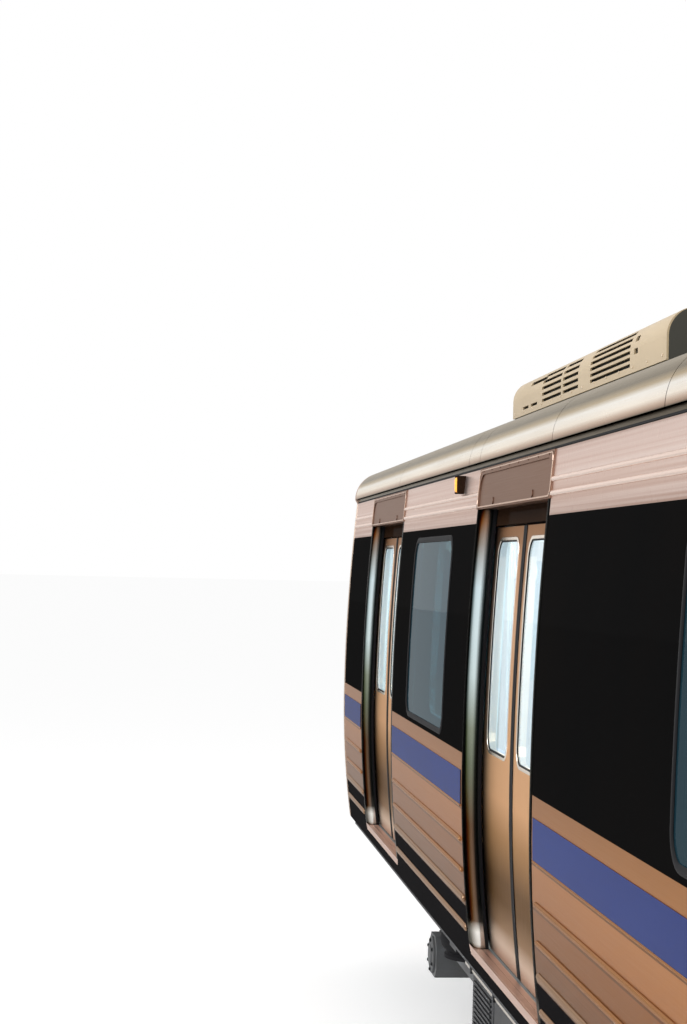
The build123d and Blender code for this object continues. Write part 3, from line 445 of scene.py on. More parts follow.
# Grey vinyl flooring with a fleck
floor_vinyl = paint("floor_vinyl", "#777B7C", "#686C6D", 0.55, 0.0002)
# Extruded rubber of the seals, matt and dark
seal_black = rubber("seal_rubber", "#141416", 0.62)
# Thick moulded rubber of springs and bellows, a little greyer
spring_rubber = rubber("spring_rubber", "#1D1D1F", 0.75)
# Tinted side glass, with a painted glow
side_glass = glass("side_glass", "#2A4B57", 1.04, 0.38)
# Paler door glass, with a painted glow
door_glass = glass("door_glass", "#CFE4ED", 1.15, 0.33)
# Polycarbonate diffusers of the ceiling lights
light_white = lamp("light_diffuser", "#FFFFFF", 14.0)
# Amber lens of a door lamp
amber = lamp("amber_lens", "#F0A030", 0.6)
print("all finishes", len(bpy.data.materials))

# %% [markdown]
# ## Finding a place on the car
# Some finishes change over one sheet: a coloured film runs along the side, and reveals take painted
# shade where they turn back. Each is found from the place on the sheet, so a few helpers measure it:
# its height, how far it lies behind the wall's curve, and how far it is from the nearest door, fan or wheel.

# %% Places
def between(tree, value, low, high):
    """1 where a value lies in a range."""
    above = add(tree, MATH, {0: value, 1: low}, operation="GREATER_THAN")
    below = add(tree, MATH, {0: value, 1: high}, operation="LESS_THAN")
    return add(tree, MATH, {0: above, 1: below}, operation="MULTIPLY")


def parts_of(tree, place):
    """X, |Y| and Z of a place."""
    along, across, height = add(tree, "ShaderNodeSeparateXYZ", {0: place}).node.outputs
    return along, add(tree, MATH, {0: across}, operation="ABSOLUTE"), height


def by_height(tree, value, low, high, stops):
    """A colour that changes along a range, from (share, code) stops."""
    share = add(tree, RANGE, {"Value": value, "From Min": low, "From Max": high})
    colour = add(tree, "ShaderNodeValToRGB", {"Fac": share})
    spots = colour.node.color_ramp.elements
    spots[0].position, spots[0].color = stops[0][0], linear(stops[0][1])
    spots[1].position, spots[1].color = stops[-1][0], linear(stops[-1][1])
    for spot, code in stops[1:-1]:
        spots.new(spot).color = linear(code)
    return colour


def from_nearest(tree, along, middle, apart):
    """How far a place lies from the nearest of four stations, which stand in a pair about each middle."""
    reach = add(tree, MATH, {0: along}, operation="ABSOLUTE")
    past_middle = add(tree, MATH, {0: reach, 1: middle}, operation="SUBTRACT")
    to_middle = add(tree, MATH, {0: past_middle}, operation="ABSOLUTE")
    return add(tree, MATH, {0: to_middle, 1: apart}, operation="SUBTRACT")


def distance(tree, one, two):
    """The distance from an axis, from two offsets square to it."""
    offset = add(tree, "ShaderNodeCombineXYZ", {0: one, 1: two})
    return add(tree, "ShaderNodeVectorMath", {0: offset}, "Value", operation="LENGTH")


def depth_in_wall(tree, place):
    """How far a place lies behind the wall's curve, above or below the waist."""
    _, across, height = parts_of(tree, place)
    rise = add(tree, MATH, {0: height, 1: WAIST_Z}, operation="SUBTRACT")
    square = add(tree, MATH, {0: rise, 1: rise}, operation="MULTIPLY")
    upper = add(tree, MATH, {0: square, 1: 2 * UPPER_RADIUS}, operation="DIVIDE")
    lower = add(tree, MATH, {0: square, 1: 2 * LOWER_RADIUS}, operation="DIVIDE")
    above = add(tree, MATH, {0: rise, 1: 0.0}, operation="GREATER_THAN")
    fall = add(tree, MIX, {FACTOR: above, 2: lower, 3: upper})
    face = add(tree, MATH, {0: WAIST_HALF, 1: fall}, operation="SUBTRACT")
    return add(tree, MATH, {0: face, 1: across}, operation="SUBTRACT")


def proud_of_wall(tree, place, limit):
    """1 where the lower wall stands out from its curve by more than a limit."""
    _, across, height = parts_of(tree, place)
    rise = add(tree, MATH, {0: height, 1: WAIST_Z}, operation="SUBTRACT")
    square = add(tree, MATH, {0: rise, 1: rise}, operation="MULTIPLY")
    chord = add(tree, MATH, {0: LOWER_RADIUS ** 2, 1: square}, operation="SUBTRACT")
    reach = add(tree, MATH, {0: chord}, operation="SQRT")
    face = add(tree, MATH, {0: reach, 1: WAIST_HALF - LOWER_RADIUS + limit}, operation="ADD")
    return add(tree, MATH, {0: across, 1: face}, operation="GREATER_THAN")


print("wall measured from", WAIST_HALF)

# %% [markdown]
# ## Side sheet with the blue film
# The film covers a pressed panel that stands a little proud between two heights, so both the height
# and the step decide where it lies. The sheet's tone is a painted reflection, darker towards the foot.
# The beads cast thin shadows below them, which a render with soft light would lose, so painted
# shadow lines help them.

# %% Side sheet
STRIPE_LOW = RAIL + 1.727
STRIPE_HIGH = RAIL + 1.883
STRIPE_SHORT = 0.028
PROUD_LIMIT = 0.0012
SHADOW_TALL = 0.008
SHADOW_LINES = (RAIL + 1.277, RAIL + 1.408, RAIL + 1.549, STRIPE_LOW - 0.012)
SIDE_FOOT = RAIL + 1.270
SIDE_HEAD = RAIL + 1.963


def striped_steel():
    """Rolled stainless sheet with a blue film below the windows, a painted reflection that darkens towards the
    foot, and painted shadow lines under the beads.
    """
    made, tree, place = new_material("stainless_with_film")
    lines = mottle(tree, place, ROLLED_GRAIN, 6.0)
    clouds = mottle(tree, place, WASHED_CLOUDS, 3.0)
    _, _, height = parts_of(tree, place)
    # Painted reflection: darker towards the foot and lighter under the film
    foot = by_height(tree, height, SIDE_FOOT, SIDE_HEAD, (
        (0.0, "#46301F"), (0.18, "#6A4429"), (0.24, "#825534"), (0.40, "#8E6040"), (0.44, "#B58058"),
        (0.62, "#C48E62"), (1.0, "#B08056")))
    faint = add(tree, RANGE, {"Value": clouds, "To Max": 0.35})
    steel = add(tree, MIX, {FACTOR: faint, ONE: foot, TWO: linear("#8C6A55")}, MIXED, data_type="RGBA")
    # Painted shadow lines under the beads and under the drip edge
    shadow = 0.0
    for line in SHADOW_LINES:
        below_bead = between(tree, height, line - SHADOW_TALL, line)
        shadow = add(tree, MATH, {0: shadow, 1: below_bead}, operation="MAXIMUM")
    dark = add(tree, MATH, {0: shadow, 1: 0.75}, operation="MULTIPLY")
    steel = add(tree, MIX, {FACTOR: dark, ONE: steel, TWO: linear("#3A271C")}, MIXED, data_type="RGBA")
    film = add(tree, MIX, {FACTOR: clouds, ONE: linear("#0A1E58"), TWO: linear("#122A6A")}, MIXED,
               data_type="RGBA")
    near = between(tree, height, STRIPE_LOW - 0.001, STRIPE_HIGH + 0.001)
    proud = proud_of_wall(tree, place, PROUD_LIMIT)
    filmed = add(tree, MATH, {0: near, 1: proud}, operation="MULTIPLY")
    dull = add(tree, RANGE, {"Value": lines, "To Min": 0.24, "To Max": 0.40})
    glossier = add(tree, MATH, {0: filmed, 1: 0.05}, operation="MULTIPLY")
    add(tree, OUTPUT, {"Surface": add(tree, SURFACE, {
        "Base Color": add(tree, MIX, {FACTOR: filmed, ONE: steel, TWO: film}, MIXED, data_type="RGBA"),
        "Metallic": add(tree, MATH, {0: 1.0, 1: filmed}, operation="SUBTRACT"),
        "Roughness": add(tree, MATH, {0: dull, 1: glossier}, operation="SUBTRACT"),
        "Specular Tint": glancing_tint("#9A6A44", 0.8), "Specular IOR Level": 0.0, "Coat Weight": 0.24,
        "Normal": add(tree, BUMP, {"Height": lines, "Distance": 0.00004}),
    })})
    return made


# Rolled stainless sheet with a self-adhesive film, which is smoother than the steel
steel_with_film = striped_steel()
print("film from", STRIPE_LOW, "to", STRIPE_HIGH)

# %% [markdown]
# ## Cases of the cooling units
# The slots are cut into the case, and painted shade darkens their insides. A place counts as inside
# a slot when it lies behind the case's rounded shoulder. The fans on top sit under guards of ringed
# wire, which are drawn as painted shade in the gaps between rings, since the wires are too fine to model.

# %% Cooling units
UNIT_HALF = 1.030
UNIT_LOW = RAIL + 3.590
UNIT_HIGH = RAIL + 3.790
UNIT_SHOULDER = 0.110
UNIT_MIDDLE = 4.200
SLOT_DEEP = 0.008
TOP_SKIN = 0.004
FAN_SPLIT = 0.780
FAN_RADIUS = 0.420
FAN_HUB = 0.090
FAN_WIRE = 0.026
FAN_WIRE_SHARE = 0.35


def unit_case():
    """Cream powder coat with painted shade in the louvre slots and between the fan guards' rings."""
    made, tree, place = new_material("unit_cream_with_slots")
    clouds = mottle(tree, place, PAINT_CLOUDS)
    coat = add(tree, MIX, {FACTOR: clouds, ONE: linear("#BEA988"), TWO: linear("#A79373")}, MIXED,
               data_type="RGBA")
    along, across, height = parts_of(tree, place)
    past = add(tree, MATH, {0: height, 1: UNIT_HIGH - UNIT_SHOULDER}, operation="SUBTRACT")
    rise = add(tree, MATH, {0: past, 1: 0.0}, operation="MAXIMUM")
    square = add(tree, MATH, {0: rise, 1: rise}, operation="MULTIPLY")
    chord = add(tree, MATH, {0: UNIT_SHOULDER ** 2, 1: square}, operation="SUBTRACT")
    kept = add(tree, MATH, {0: chord, 1: 0.0}, operation="MAXIMUM")
    reach = add(tree, MATH, {0: kept}, operation="SQRT")
    face = add(tree, MATH, {0: reach, 1: UNIT_HALF - UNIT_SHOULDER - SLOT_DEEP}, operation="ADD")
    inside = add(tree, MATH, {0: across, 1: face}, operation="LESS_THAN")
    below = add(tree, MATH, {0: height, 1: UNIT_HIGH - TOP_SKIN}, operation="LESS_THAN")
    slots = add(tree, MATH, {0: inside, 1: below}, operation="MULTIPLY")
    radius = distance(tree, from_nearest(tree, along, UNIT_MIDDLE, FAN_SPLIT), across)
    turns = add(tree, MATH, {0: radius, 1: FAN_WIRE}, operation="DIVIDE")
    ring = add(tree, MATH, {0: turns}, operation="FRACT")
    gaps = add(tree, MATH, {0: ring, 1: FAN_WIRE_SHARE}, operation="GREATER_THAN")
    fans = add(tree, MATH, {0: gaps, 1: between(tree, radius, FAN_HUB, FAN_RADIUS)}, operation="MULTIPLY")
    on_top = add(tree, MATH, {0: 1.0, 1: below}, operation="SUBTRACT")
    guards = add(tree, MATH, {0: fans, 1: on_top}, operation="MULTIPLY")
    dark = add(tree, MATH, {0: slots, 1: guards}, operation="MAXIMUM")
    # Painted shade in the slots and between the guard's rings
    colour = add(tree, MIX, {FACTOR: dark, ONE: coat, TWO: linear("#2E2C22")}, MIXED, data_type="RGBA")
    add(tree, OUTPUT, {"Surface": add(tree, SURFACE, {
        "Base Color": colour,
        "Roughness": add(tree, RANGE, {"Value": clouds, "To Min": 0.38, "To Max": 0.48}),
        "Normal": add(tree, BUMP, {"Height": mottle(tree, place, ORANGE_PEEL, 2.0), "Distance": 0.00006}),
    })})
    return made


# Sheet steel under a cream powder coat, satin and faintly mottled
unit_finish = unit_case()
print("fan rings", int((FAN_RADIUS - FAN_HUB) / FAN_WIRE))

# %% [markdown]
# ## Drawn sheets round the doors
# Reveals, door skins and cant sheets are pressed or drawn, so their tone follows their form: a curved
# sheet mirrors the light on one part and the dark on the next. Here a function of the place paints that
# reflected light and shade into the colour, the same from every side, since a plain backdrop has
# nothing for the steel to mirror.

# %% Drawn sheets
DRAWN_GRAIN = (5.56, 5.56, 417)
LEAF_TOP = RAIL + 2.985
REVEAL_BACK = 0.067
FOOT_SHINE = 0.200


def shaded_steel(name, tone, edge, roughness, keep=0.8):
    """Drawn stainless steel whose painted reflection and shade come from a function of the tree and the place.
    """
    made, tree, place = new_material(name)
    lines = mottle(tree, place, DRAWN_GRAIN, 5.0)
    add(tree, OUTPUT, {"Surface": add(tree, SURFACE, {
        "Base Color": tone(tree, place), "Metallic": 1.0, "Specular Tint": glancing_tint(edge, keep),
        "Roughness": add(tree, RANGE, {
            "Value": lines, "To Min": roughness - 0.05, "To Max": roughness + 0.08}),
        "Normal": add(tree, BUMP, {"Height": lines, "Distance": 0.00003}),
    })})
    return made


def reveal_tone(tree, place):
    """Painted reflection: cool light on the upper curve, brown lower down, a painted highlight at the foot,
    and painted shade where it turns back.
    """
    _, _, height = parts_of(tree, place)
    lit = by_height(tree, height, FLOOR_Z, DOOR_HIGH, (
        (0.0, "#6A5240"), (0.28, "#6A5240"), (0.42, "#848B77"), (0.50, "#A3AB98"), (0.62, "#EEFFFF"),
        (0.82, "#E8FAFF"), (0.92, "#A8A098"), (0.97, "#946E54"), (1.0, "#40342C")))
    turned_out = by_height(tree, depth_in_wall(tree, place), 0.0, REVEAL_BACK, (
        (0.0, "#181614"), (0.020, "#2A2624"), (0.045, "#B0B0B0"), (0.12, "#FFFFFF"), (0.36, "#E4E4E4"),
        (0.52, "#606060"), (0.64, "#000000"), (1.0, "#000000")))
    shine = by_height(tree, height, FLOOR_Z, FLOOR_Z + FOOT_SHINE, (
        (0.0, "#101010"), (0.10, "#C0C0C0"), (0.38, "#E0E0E0"), (0.62, "#303030"), (1.0, "#000000")))
    curve = add(tree, MIX, {FACTOR: turned_out, ONE: linear("#0F1212"), TWO: lit}, MIXED, data_type="RGBA")
    return add(tree, MIX, {FACTOR: shine, ONE: curve, TWO: linear("#F4F1EA")}, MIXED, data_type="RGBA")


def leaf_tone(tree, place):
    """Warm skins with painted reflection: a painted highlight at the foot, a painted dark band above it, and
    painted shade away from the meeting edge, where they turn away.
    """
    along, _, height = parts_of(tree, place)
    skin = by_height(tree, height, FLOOR_Z, LEAF_TOP, (
        (0.0, "#E6D6CA"), (0.045, "#F0E4DA"), (0.09, "#948070"), (0.15, "#4A3C32"), (0.20, "#4E4036"),
        (0.30, "#B8946E"), (0.38, "#F4CAA2"), (0.55, "#F4CCA6"), (0.80, "#E0C0A8"), (1.0, "#8A6A58")))
    drift = add(tree, RANGE, {"Value": mottle(tree, place, (625, 625, 1042), 3.0), "To Max": 0.10})
    skin = add(tree, MIX, {FACTOR: drift, ONE: skin, TWO: linear("#A88468")}, MIXED, data_type="RGBA")
    aside = from_nearest(tree, along, (DOORS[2] + DOORS[3]) / 2, (DOORS[3] - DOORS[2]) / 2)
    share = add(tree, MATH, {0: aside, 1: CLEAR_HALF}, operation="DIVIDE")
    away = add(tree, MATH, {0: share}, operation="ABSOLUTE")
    turning = add(tree, MATH, {0: away, 1: 6.0}, operation="POWER")
    dark = add(tree, MATH, {0: turning, 1: 0.80}, operation="MULTIPLY")
    return add(tree, MIX, {FACTOR: dark, ONE: skin, TWO: linear("#2C231D")}, MIXED, data_type="RGBA")


def cant_tone(tree, place):
    """Warm sheet with painted shade at the band and under the gutter, and painted highlights in level streaks.
    """
    _, _, height = parts_of(tree, place)
    sheet = by_height(tree, height, BAND_HIGH, CANT_HIGH, (
        (0.0, "#8A6450"), (0.10, "#A48070"), (0.30, "#BC9C8C"), (0.50, "#D2B8AC"), (0.70, "#D6BEB4"),
        (0.95, "#CEB5AB"), (1.0, "#A48C82")))
    lines = mottle(tree, place, (5000, 200, 14.3), 5.0)
    painted_highlight_streaks = add(tree, RANGE, {"Value": lines, "To Min": -0.3, "To Max": 1.0})
    return add(tree, MIX, {FACTOR: painted_highlight_streaks, ONE: sheet, TWO: linear("#FFFAF6")}, MIXED, data_type="RGBA")


# Drawn reveals beside the doors, with a painted grey-green reflection and painted shade where they curve back
reveal_steel = shaded_steel("stainless_reveal", reveal_tone, "#26241F", 0.20, keep=0.95)
# Stainless door skins, bead blasted, with a painted warm highlight at their foot
door_steel = shaded_steel("stainless_door", leaf_tone, "#B98F6E", 0.32)
# Cant sheets, rolled, with painted highlights in level streaks
cant_steel = shaded_steel("stainless_cant", cant_tone, "#BFA498", 0.28)
print("drawn sheets", reveal_steel.name, door_steel.name, cant_steel.name)

# %% [markdown]
# ## Polished edge of the roof
# A rolled half-round mirrors what is above it in a narrow bright line, which is painted into its colour
# with painted shade above and below it. Its skin is never quite even, so a broad bump dents it softly,
# brake dust browns it in patches, and the painted shade turns olive from the middle upwards.

# %% Roof edge finish
RAIL_TALL = 0.200


def dusted_rail_with_painted_highlight():
    """Polished stainless of the roof's edge, softly dented, browned by brake dust in patches, with a painted
    highlight band and painted shade by height.
    """
    made, tree, place = new_material("stainless_roof_edge")
    lines = mottle(tree, place, ROLLED_GRAIN, 6.0)
    dents = mottle(tree, place, (333, 200, 200), 2.0)
    _, _, height = parts_of(tree, place)
    # Painted reflection by height: a dark gutter line, a painted highlight band, and painted olive shade above
    # it
    film = by_height(tree, height, GUTTER_HIGH, GUTTER_HIGH + RAIL_TALL, (
        (0.0, "#1E1410"), (0.03, "#9A7C6C"), (0.09, "#CDB6A8"), (0.18, "#FFF8F0"), (0.34, "#FFFFFF"),
        (0.45, "#B4A284"), (0.58, "#463C28"), (0.80, "#75664A"), (1.0, "#4A4230")))
    drift = mottle(tree, place, (1136, 455, 151.5))
    dusty = add(tree, RANGE, {"Value": drift, "To Min": -0.10, "To Max": 0.22})
    grain = add(tree, MATH, {0: lines, 1: 0.02}, operation="MULTIPLY")
    skin = add(tree, MATH, {0: grain, 1: dents}, operation="ADD")
    colour = add(tree, MIX, {FACTOR: dusty, ONE: film, TWO: linear("#7D6A5C")}, MIXED, data_type="RGBA")
    add(tree, OUTPUT, {"Surface": add(tree, SURFACE, {
        "Base Color": colour,
        "Metallic": 1.0, "Specular Tint": glancing_tint("#C4B49A"),
        "Roughness": add(tree, RANGE, {"Value": lines, "To Min": 0.22, "To Max": 0.36}),
        "Normal": add(tree, BUMP, {"Height": skin, "Distance": 0.0025}),
    })})
    return made


# Rolled half-round tube, polished, with one long painted highlight
rail_steel = dusted_rail_with_painted_highlight()
print("finishes ready", len(bpy.data.materials))

# %% [markdown]
# ## Finishes on the CAD solids
# Each solid keeps its shape and takes the finish of the real piece. The first matching word in the
# table decides, so the more exact words come first.

# %% Finishes by name
FINISHES = (
    ("lower_panels", steel_with_film), ("skirt_panels", skirt_black), ("window_panels", band_black),
    ("windows", side_glass), ("cant_panels", cant_steel), ("cant_rails", stainless_bright),
    ("door_posts", reveal_steel), ("door_lintels", cover_steel), ("door_sills", sill_steel),
    ("door_headers", header_black), ("door_leaf", door_steel), ("ac_unit", unit_finish),
    ("ac_curbs", roof_paint), ("roof", roof_paint), ("end_panels", stainless), ("end_lintels", stainless),
    ("end_door", cover_steel), ("inner_lining", lining_white), ("ceiling", lining_white),
    ("light_strips", light_white), ("floor", floor_vinyl), ("seat", seat_blue), ("grab_poles", pole_steel),
    ("air_springs", spring_rubber), ("axle_boxes", bogie_paint), ("bogie_frame", bogie_paint),
    ("traction_motors", underframe_black), ("wheelset", wheel_steel), ("coupler", coupler_steel),
    ("centre_pivots", bogie_paint), ("sole_bars", underframe_black), ("cross_bearers", underframe_black),
    ("underfloor_equipment", underframe_black),
)
finished = 0
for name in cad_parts:
    solid = bpy.data.objects[name]
    chosen = next(material for word, material in FINISHES if name.startswith(word))
    solid.data.materials.clear()
    solid.data.materials.append(chosen)
    finished += 1
print("solids finished", finished)

# %% [markdown]
# ## Door leaves
# Each leaf is a bonded sandwich with a tall rounded window. From outside, the order is a bright
# pressed edging, a black rubber seal and the pane. The two leaves meet in soft rubber, whose halves
# nest when the doors shut. All of it slides with its leaf.

# %% Door windows and meeting rubbers
LEAF_WINDOW = 0.500
LEAF_WINDOW_CORNER = 0.075
LEAF_WINDOW_HIGH = WINDOW_HIGH - 0.020
EDGING_WIDE = 0.011
RUBBER_WIDE = 0.030
LEAF_LOW = FLOOR_Z + 0.010


def leaf_names():
    """Each leaf as (node, side, its window's centre, its meeting edge, the way it opens)."""
    for side_name, side in SIDES:
        for number, x in enumerate(DOORS, start=1):
            for hand, way in (("a", -1), ("b", 1)):
                centre = x + way * (LEAF_MEETING / 2 + LEAF_WIDTH / 2)
                yield f"door_leaf_{side_name}_{number}{hand}", side, centre, x + way * LEAF_MEETING / 2, way


def strip_up(shape, x_low, x_high, low, high, front, back, side, steps=12):
    """A strip that runs up the bowed wall."""
    rings = []
    for step in range(steps + 1):
        z = low + (high - low) * step / steps
        rings.append([(x_low, side * bow(z, front), z), (x_high, side * bow(z, front), z),
                      (x_high, side * bow(z, back), z), (x_low, side * bow(z, back), z)])
    tube(shape, rings)


for node, side, centre, edge, way in leaf_names():
    outline = (centre, WINDOW_LOW, LEAF_WINDOW_HIGH, LEAF_WINDOW, LEAF_WINDOW_CORNER)
    place = on_side(side)
    edging = Shape()
    seal(edging, outline, flat_profile(-0.004, EDGING_WIDE, LEAF_INSET - 0.004, LEAF_INSET + 0.004), place)
    piece(f"{node}_edging", edging, stainless_bright, node)
    gasket = Shape()
    seal(gasket, outline, round_profile(-0.006, LEAF_INSET + 0.002, 0.010, 0.008), place)
    piece(f"{node}_gasket", gasket, seal_black, node)
    sheet = Shape()
    pane(sheet, outline, LEAF_INSET + 0.003, LEAF_INSET + 0.009, place)
    piece(f"{node}_pane", sheet, door_glass, node)
    meeting = Shape()
    ends = sorted((edge, edge + way * RUBBER_WIDE))
    strip_up(meeting, *ends, LEAF_LOW, LEAF_TOP, LEAF_INSET - 0.003, LEAF_INSET + 0.004, side)
    piece(f"{node}_rubber", meeting, seal_black, node)
print("leaves trimmed", len(list(leaf_names())))

# %% [markdown]
# ## Window seals
# Each bay window sits in a black rubber section that stands a little proud of panel and glass. It is
# the same loop as on the leaves with a fatter round section, so the two kinds of seal stay alike.

# %% Bay window seals
BAY_WINDOW = 1.380
BAY_CORNER = 0.100
bay_seals = Shape()
for _, side in SIDES:
    for x in BAY_WINDOWS:
        outline = (x, WINDOW_LOW, WINDOW_HIGH, BAY_WINDOW, BAY_CORNER)
        seal(bay_seals, outline, round_profile(0.0, 0.0, 0.030, 0.010), on_side(side))
piece("bay_window_seals", bay_seals, seal_black)
print("bay seals", len(bay_seals.faces))

# %% [markdown]
# ## Mouldings over the windows
# Two thin polished mouldings run along the cant panels and stop at the covers over the doors. They
# are half-round extrusions, so each is a section on the wall's curve, swept along X.

# %% Cant mouldings
MOULDINGS = ((RAIL + 3.088, 0.021), (RAIL + 3.142, 0.021))
MOULDING_SHORT = 0.001
MOULDING_PROUD = 0.0075
MOULDING_STEPS = 8


def half_round(z, tall, proud, side):
    """A half-round section on the wall, as (y, z) points."""
    points = []
    for step in range(MOULDING_STEPS + 1):
        angle = pi * step / MOULDING_STEPS - pi / 2
        height = z + tall / 2 * sin(angle)
        points.append((side * (bow(height) + proud * cos(angle)), height))
    points.append((side * (bow(z + tall / 2) - 0.003), z + tall / 2))
    points.append((side * (bow(z - tall / 2) - 0.003), z - tall / 2))
    return points


def sweep_x(shape, section, x_low, x_high):
    """Run a section of (y, z) points along X."""
    tube(shape, [[(x, y, z) for y, z in section] for x in (x_low, x_high)])


mouldings = Shape()
for _, side in SIDES:
    for start, end in BAYS:
        for z, tall in MOULDINGS:
            sweep_x(mouldings, half_round(z, tall, MOULDING_PROUD, side), start + MOULDING_SHORT,
                    end - MOULDING_SHORT)
piece("cant_mouldings", mouldings, moulding_steel)
print("mouldings", len(mouldings.faces))

# %% [markdown]
# ## Rubbing strips and bead crowns
# Polished strips cover the two lowest ridges, and crowns the two above, with ends that taper to a nose.
# A plain sweep would end square, so the section shrinks over the last centimetres along a quarter sine.

# %% Rubbing strips
RUB_STRIPS = ((RAIL + 1.297, 0.030), (RAIL + 1.165, 0.030))
RUB_TALL = 0.037
RUB_PROUD = 0.0105
NOSE = 0.030
NOSE_STEPS = 6
BEAD_CROWNS = ((RAIL + 1.425, 0.045), (RAIL + 1.566, 0.045))
CROWN_TALL = 0.026


def nosed_strip(shape, z, tall, low, high, side):
    """A half-round strip along the wall whose section shrinks to a nose at both ends."""
    rings = []
    for number in range(2 * NOSE_STEPS):
        share = min(number, 2 * NOSE_STEPS - 1 - number) / (NOSE_STEPS - 1)
        reach = NOSE * (1 - cos(share * pi / 2))
        x = low + reach if number < NOSE_STEPS else high - reach
        size = 0.25 + 0.75 * sin(share * pi / 2)
        section = half_round(z, tall * size, RUB_PROUD * (0.6 + 0.4 * size), side)
        rings.append([(x, y, height) for y, height in section])
    tube(shape, rings)


strips, crowns = Shape(), Shape()
for _, side in SIDES:
    for start, end in BAYS:
        for z, short in RUB_STRIPS:
            nosed_strip(strips, z, RUB_TALL, start + short, end - short, side)
        for z, short in BEAD_CROWNS:
            nosed_strip(crowns, z, CROWN_TALL, start + short, end - short, side)
piece("rubbing_strips", strips, strip_steel)
piece("bead_crowns", crowns, bead_steel)
print("rubbing strips", len(strips.faces))

# %% [markdown]
# ## Edges of the blue stripe
# A bead of sealant closes each end of the film, where washing would lift it, and a bright drip edge
# runs under it. Both follow the wall: one runs up it in short steps, the other along it.

# %% Sealant and drip edge
SEALANT = 0.006
stripe_edges, drip_edges = Shape(), Shape()
for _, side in SIDES:
    for start, end in BAYS:
        low, high = start + STRIPE_SHORT, end - STRIPE_SHORT
        for x in (low - SEALANT / 2, high + SEALANT / 2):
            strip_up(stripe_edges, x - SEALANT / 2, x + SEALANT / 2, STRIPE_LOW, STRIPE_HIGH, -0.002, 0.003,
                     side)
        sweep_x(drip_edges, half_round(STRIPE_LOW - 0.006, 0.012, 0.006, side), low, high)
piece("stripe_sealant", stripe_edges, seal_black)
piece("stripe_drip_edges", drip_edges, bead_steel)
print("stripe edges", len(stripe_edges.faces))

# %% [markdown]
# ## Reveals beside the doors
# Each doorway has drawn reveals that curve back to the leaves. Their section is a quarter ellipse, and
# it is carried up the bowed wall in many steps, so it stays smooth where the CAD's post has flats. A
# black rubber strip on the inner faces keeps the draught out and also serves as painted shade in the
# gap behind the leaves.

# %% Reveals
REVEAL_LAND = 0.020
REVEAL_DEEP = 0.034
REVEAL_STEPS = 14
POST_STEPS = 24
section = [(PORTAL_HALF, REVEAL_BACK), (PORTAL_HALF, 0.0)]
for step in range(REVEAL_STEPS + 1):
    angle = step / REVEAL_STEPS * pi / 2
    section.append((PORTAL_HALF - REVEAL_LAND - (PORTAL_HALF - CLEAR_HALF - REVEAL_LAND) * sin(angle),
                    REVEAL_DEEP * (1 - cos(angle))))
section.append((CLEAR_HALF, REVEAL_BACK))
heights = [FLOOR_Z + (DOOR_HIGH - FLOOR_Z) * step / POST_STEPS for step in range(POST_STEPS + 1)]
DRAUGHT_AND_SHADE_THICK = 0.004
DRAUGHT_AND_SHADE_FRONT = 0.051
posts, draught_and_shade = Shape(), Shape()
for _, side in SIDES:
    for x in DOORS:
        for way in (-1, 1):
            tube(posts, [[(x + way * along, side * bow(z, inset), z) for along, inset in section]
                         for z in heights])
            edge = sorted((x + way * CLEAR_HALF, x + way * (CLEAR_HALF - DRAUGHT_AND_SHADE_THICK)))
            strip_up(draught_and_shade, *edge, FLOOR_Z, DOOR_HIGH, DRAUGHT_AND_SHADE_FRONT, REVEAL_BACK, side, POST_STEPS)
piece("door_reveals", posts, reveal_steel, replaces=("door_posts",))
# Black rubber strips that also serve as painted shade in the gap behind the leaves
piece("door_draught_and_shade_strips", draught_and_shade, seal_black)
print("reveals", len(posts.faces), "draught strips", len(draught_and_shade.faces))

# %% [markdown]
# ## Repeating fasteners and slats with Geometry Nodes
# Screws, bolts and rivets repeat along lines, so one node tree sets a head at even steps along every
# line of a guide mesh and stands it on the surface, whose outward direction the guide carries. A
# second tree does the same with a flat bar, for louvre blades, ribs and clips. Sizes are inputs.

# %% Node trees for repeats
PITCH, WIDE, TALL, DEEP = "Pitch", "Wide", "Tall", "Deep"


def repeat_tree(name, sizes, make_shape):
    """A tree that stands a shape at even steps along the guide's lines."""
    tree = bpy.data.node_groups.new(name, "GeometryNodeTree")
    tree.interface.new_socket("Guide", in_out="INPUT", socket_type="NodeSocketGeometry")
    for size in sizes:
        tree.interface.new_socket(size, in_out="INPUT", socket_type="NodeSocketFloat")
    tree.interface.new_socket("Finish", in_out="INPUT", socket_type="NodeSocketMaterial")
    tree.interface.new_socket("Result", in_out="OUTPUT", socket_type="NodeSocketGeometry")
    given = add(tree, "NodeGroupInput").node.outputs
    curve = add(tree, "GeometryNodeMeshToCurve", {"Mesh": given["Guide"]})
    even = add(tree, "GeometryNodeResampleCurve", {"Curve": curve, "Length": given[PITCH]}, mode="LENGTH")
    outward = add(tree, "GeometryNodeInputNamedAttribute", {"Name": "out"}, "Attribute",
                  data_type="FLOAT_VECTOR")
    stand = add(tree, "FunctionNodeAlignRotationToVector", {"Vector": outward}, axis="Z")
    placed = add(tree, "GeometryNodeInstanceOnPoints", {
        "Points": even, "Instance": make_shape(tree, given), "Rotation": stand})
    real = add(tree, "GeometryNodeRealizeInstances", {"Geometry": placed})
    dressed = add(tree, "GeometryNodeSetMaterial", {"Geometry": real, "Material": given["Finish"]})
    add(tree, "NodeGroupOutput", {"Result": dressed})
    return tree


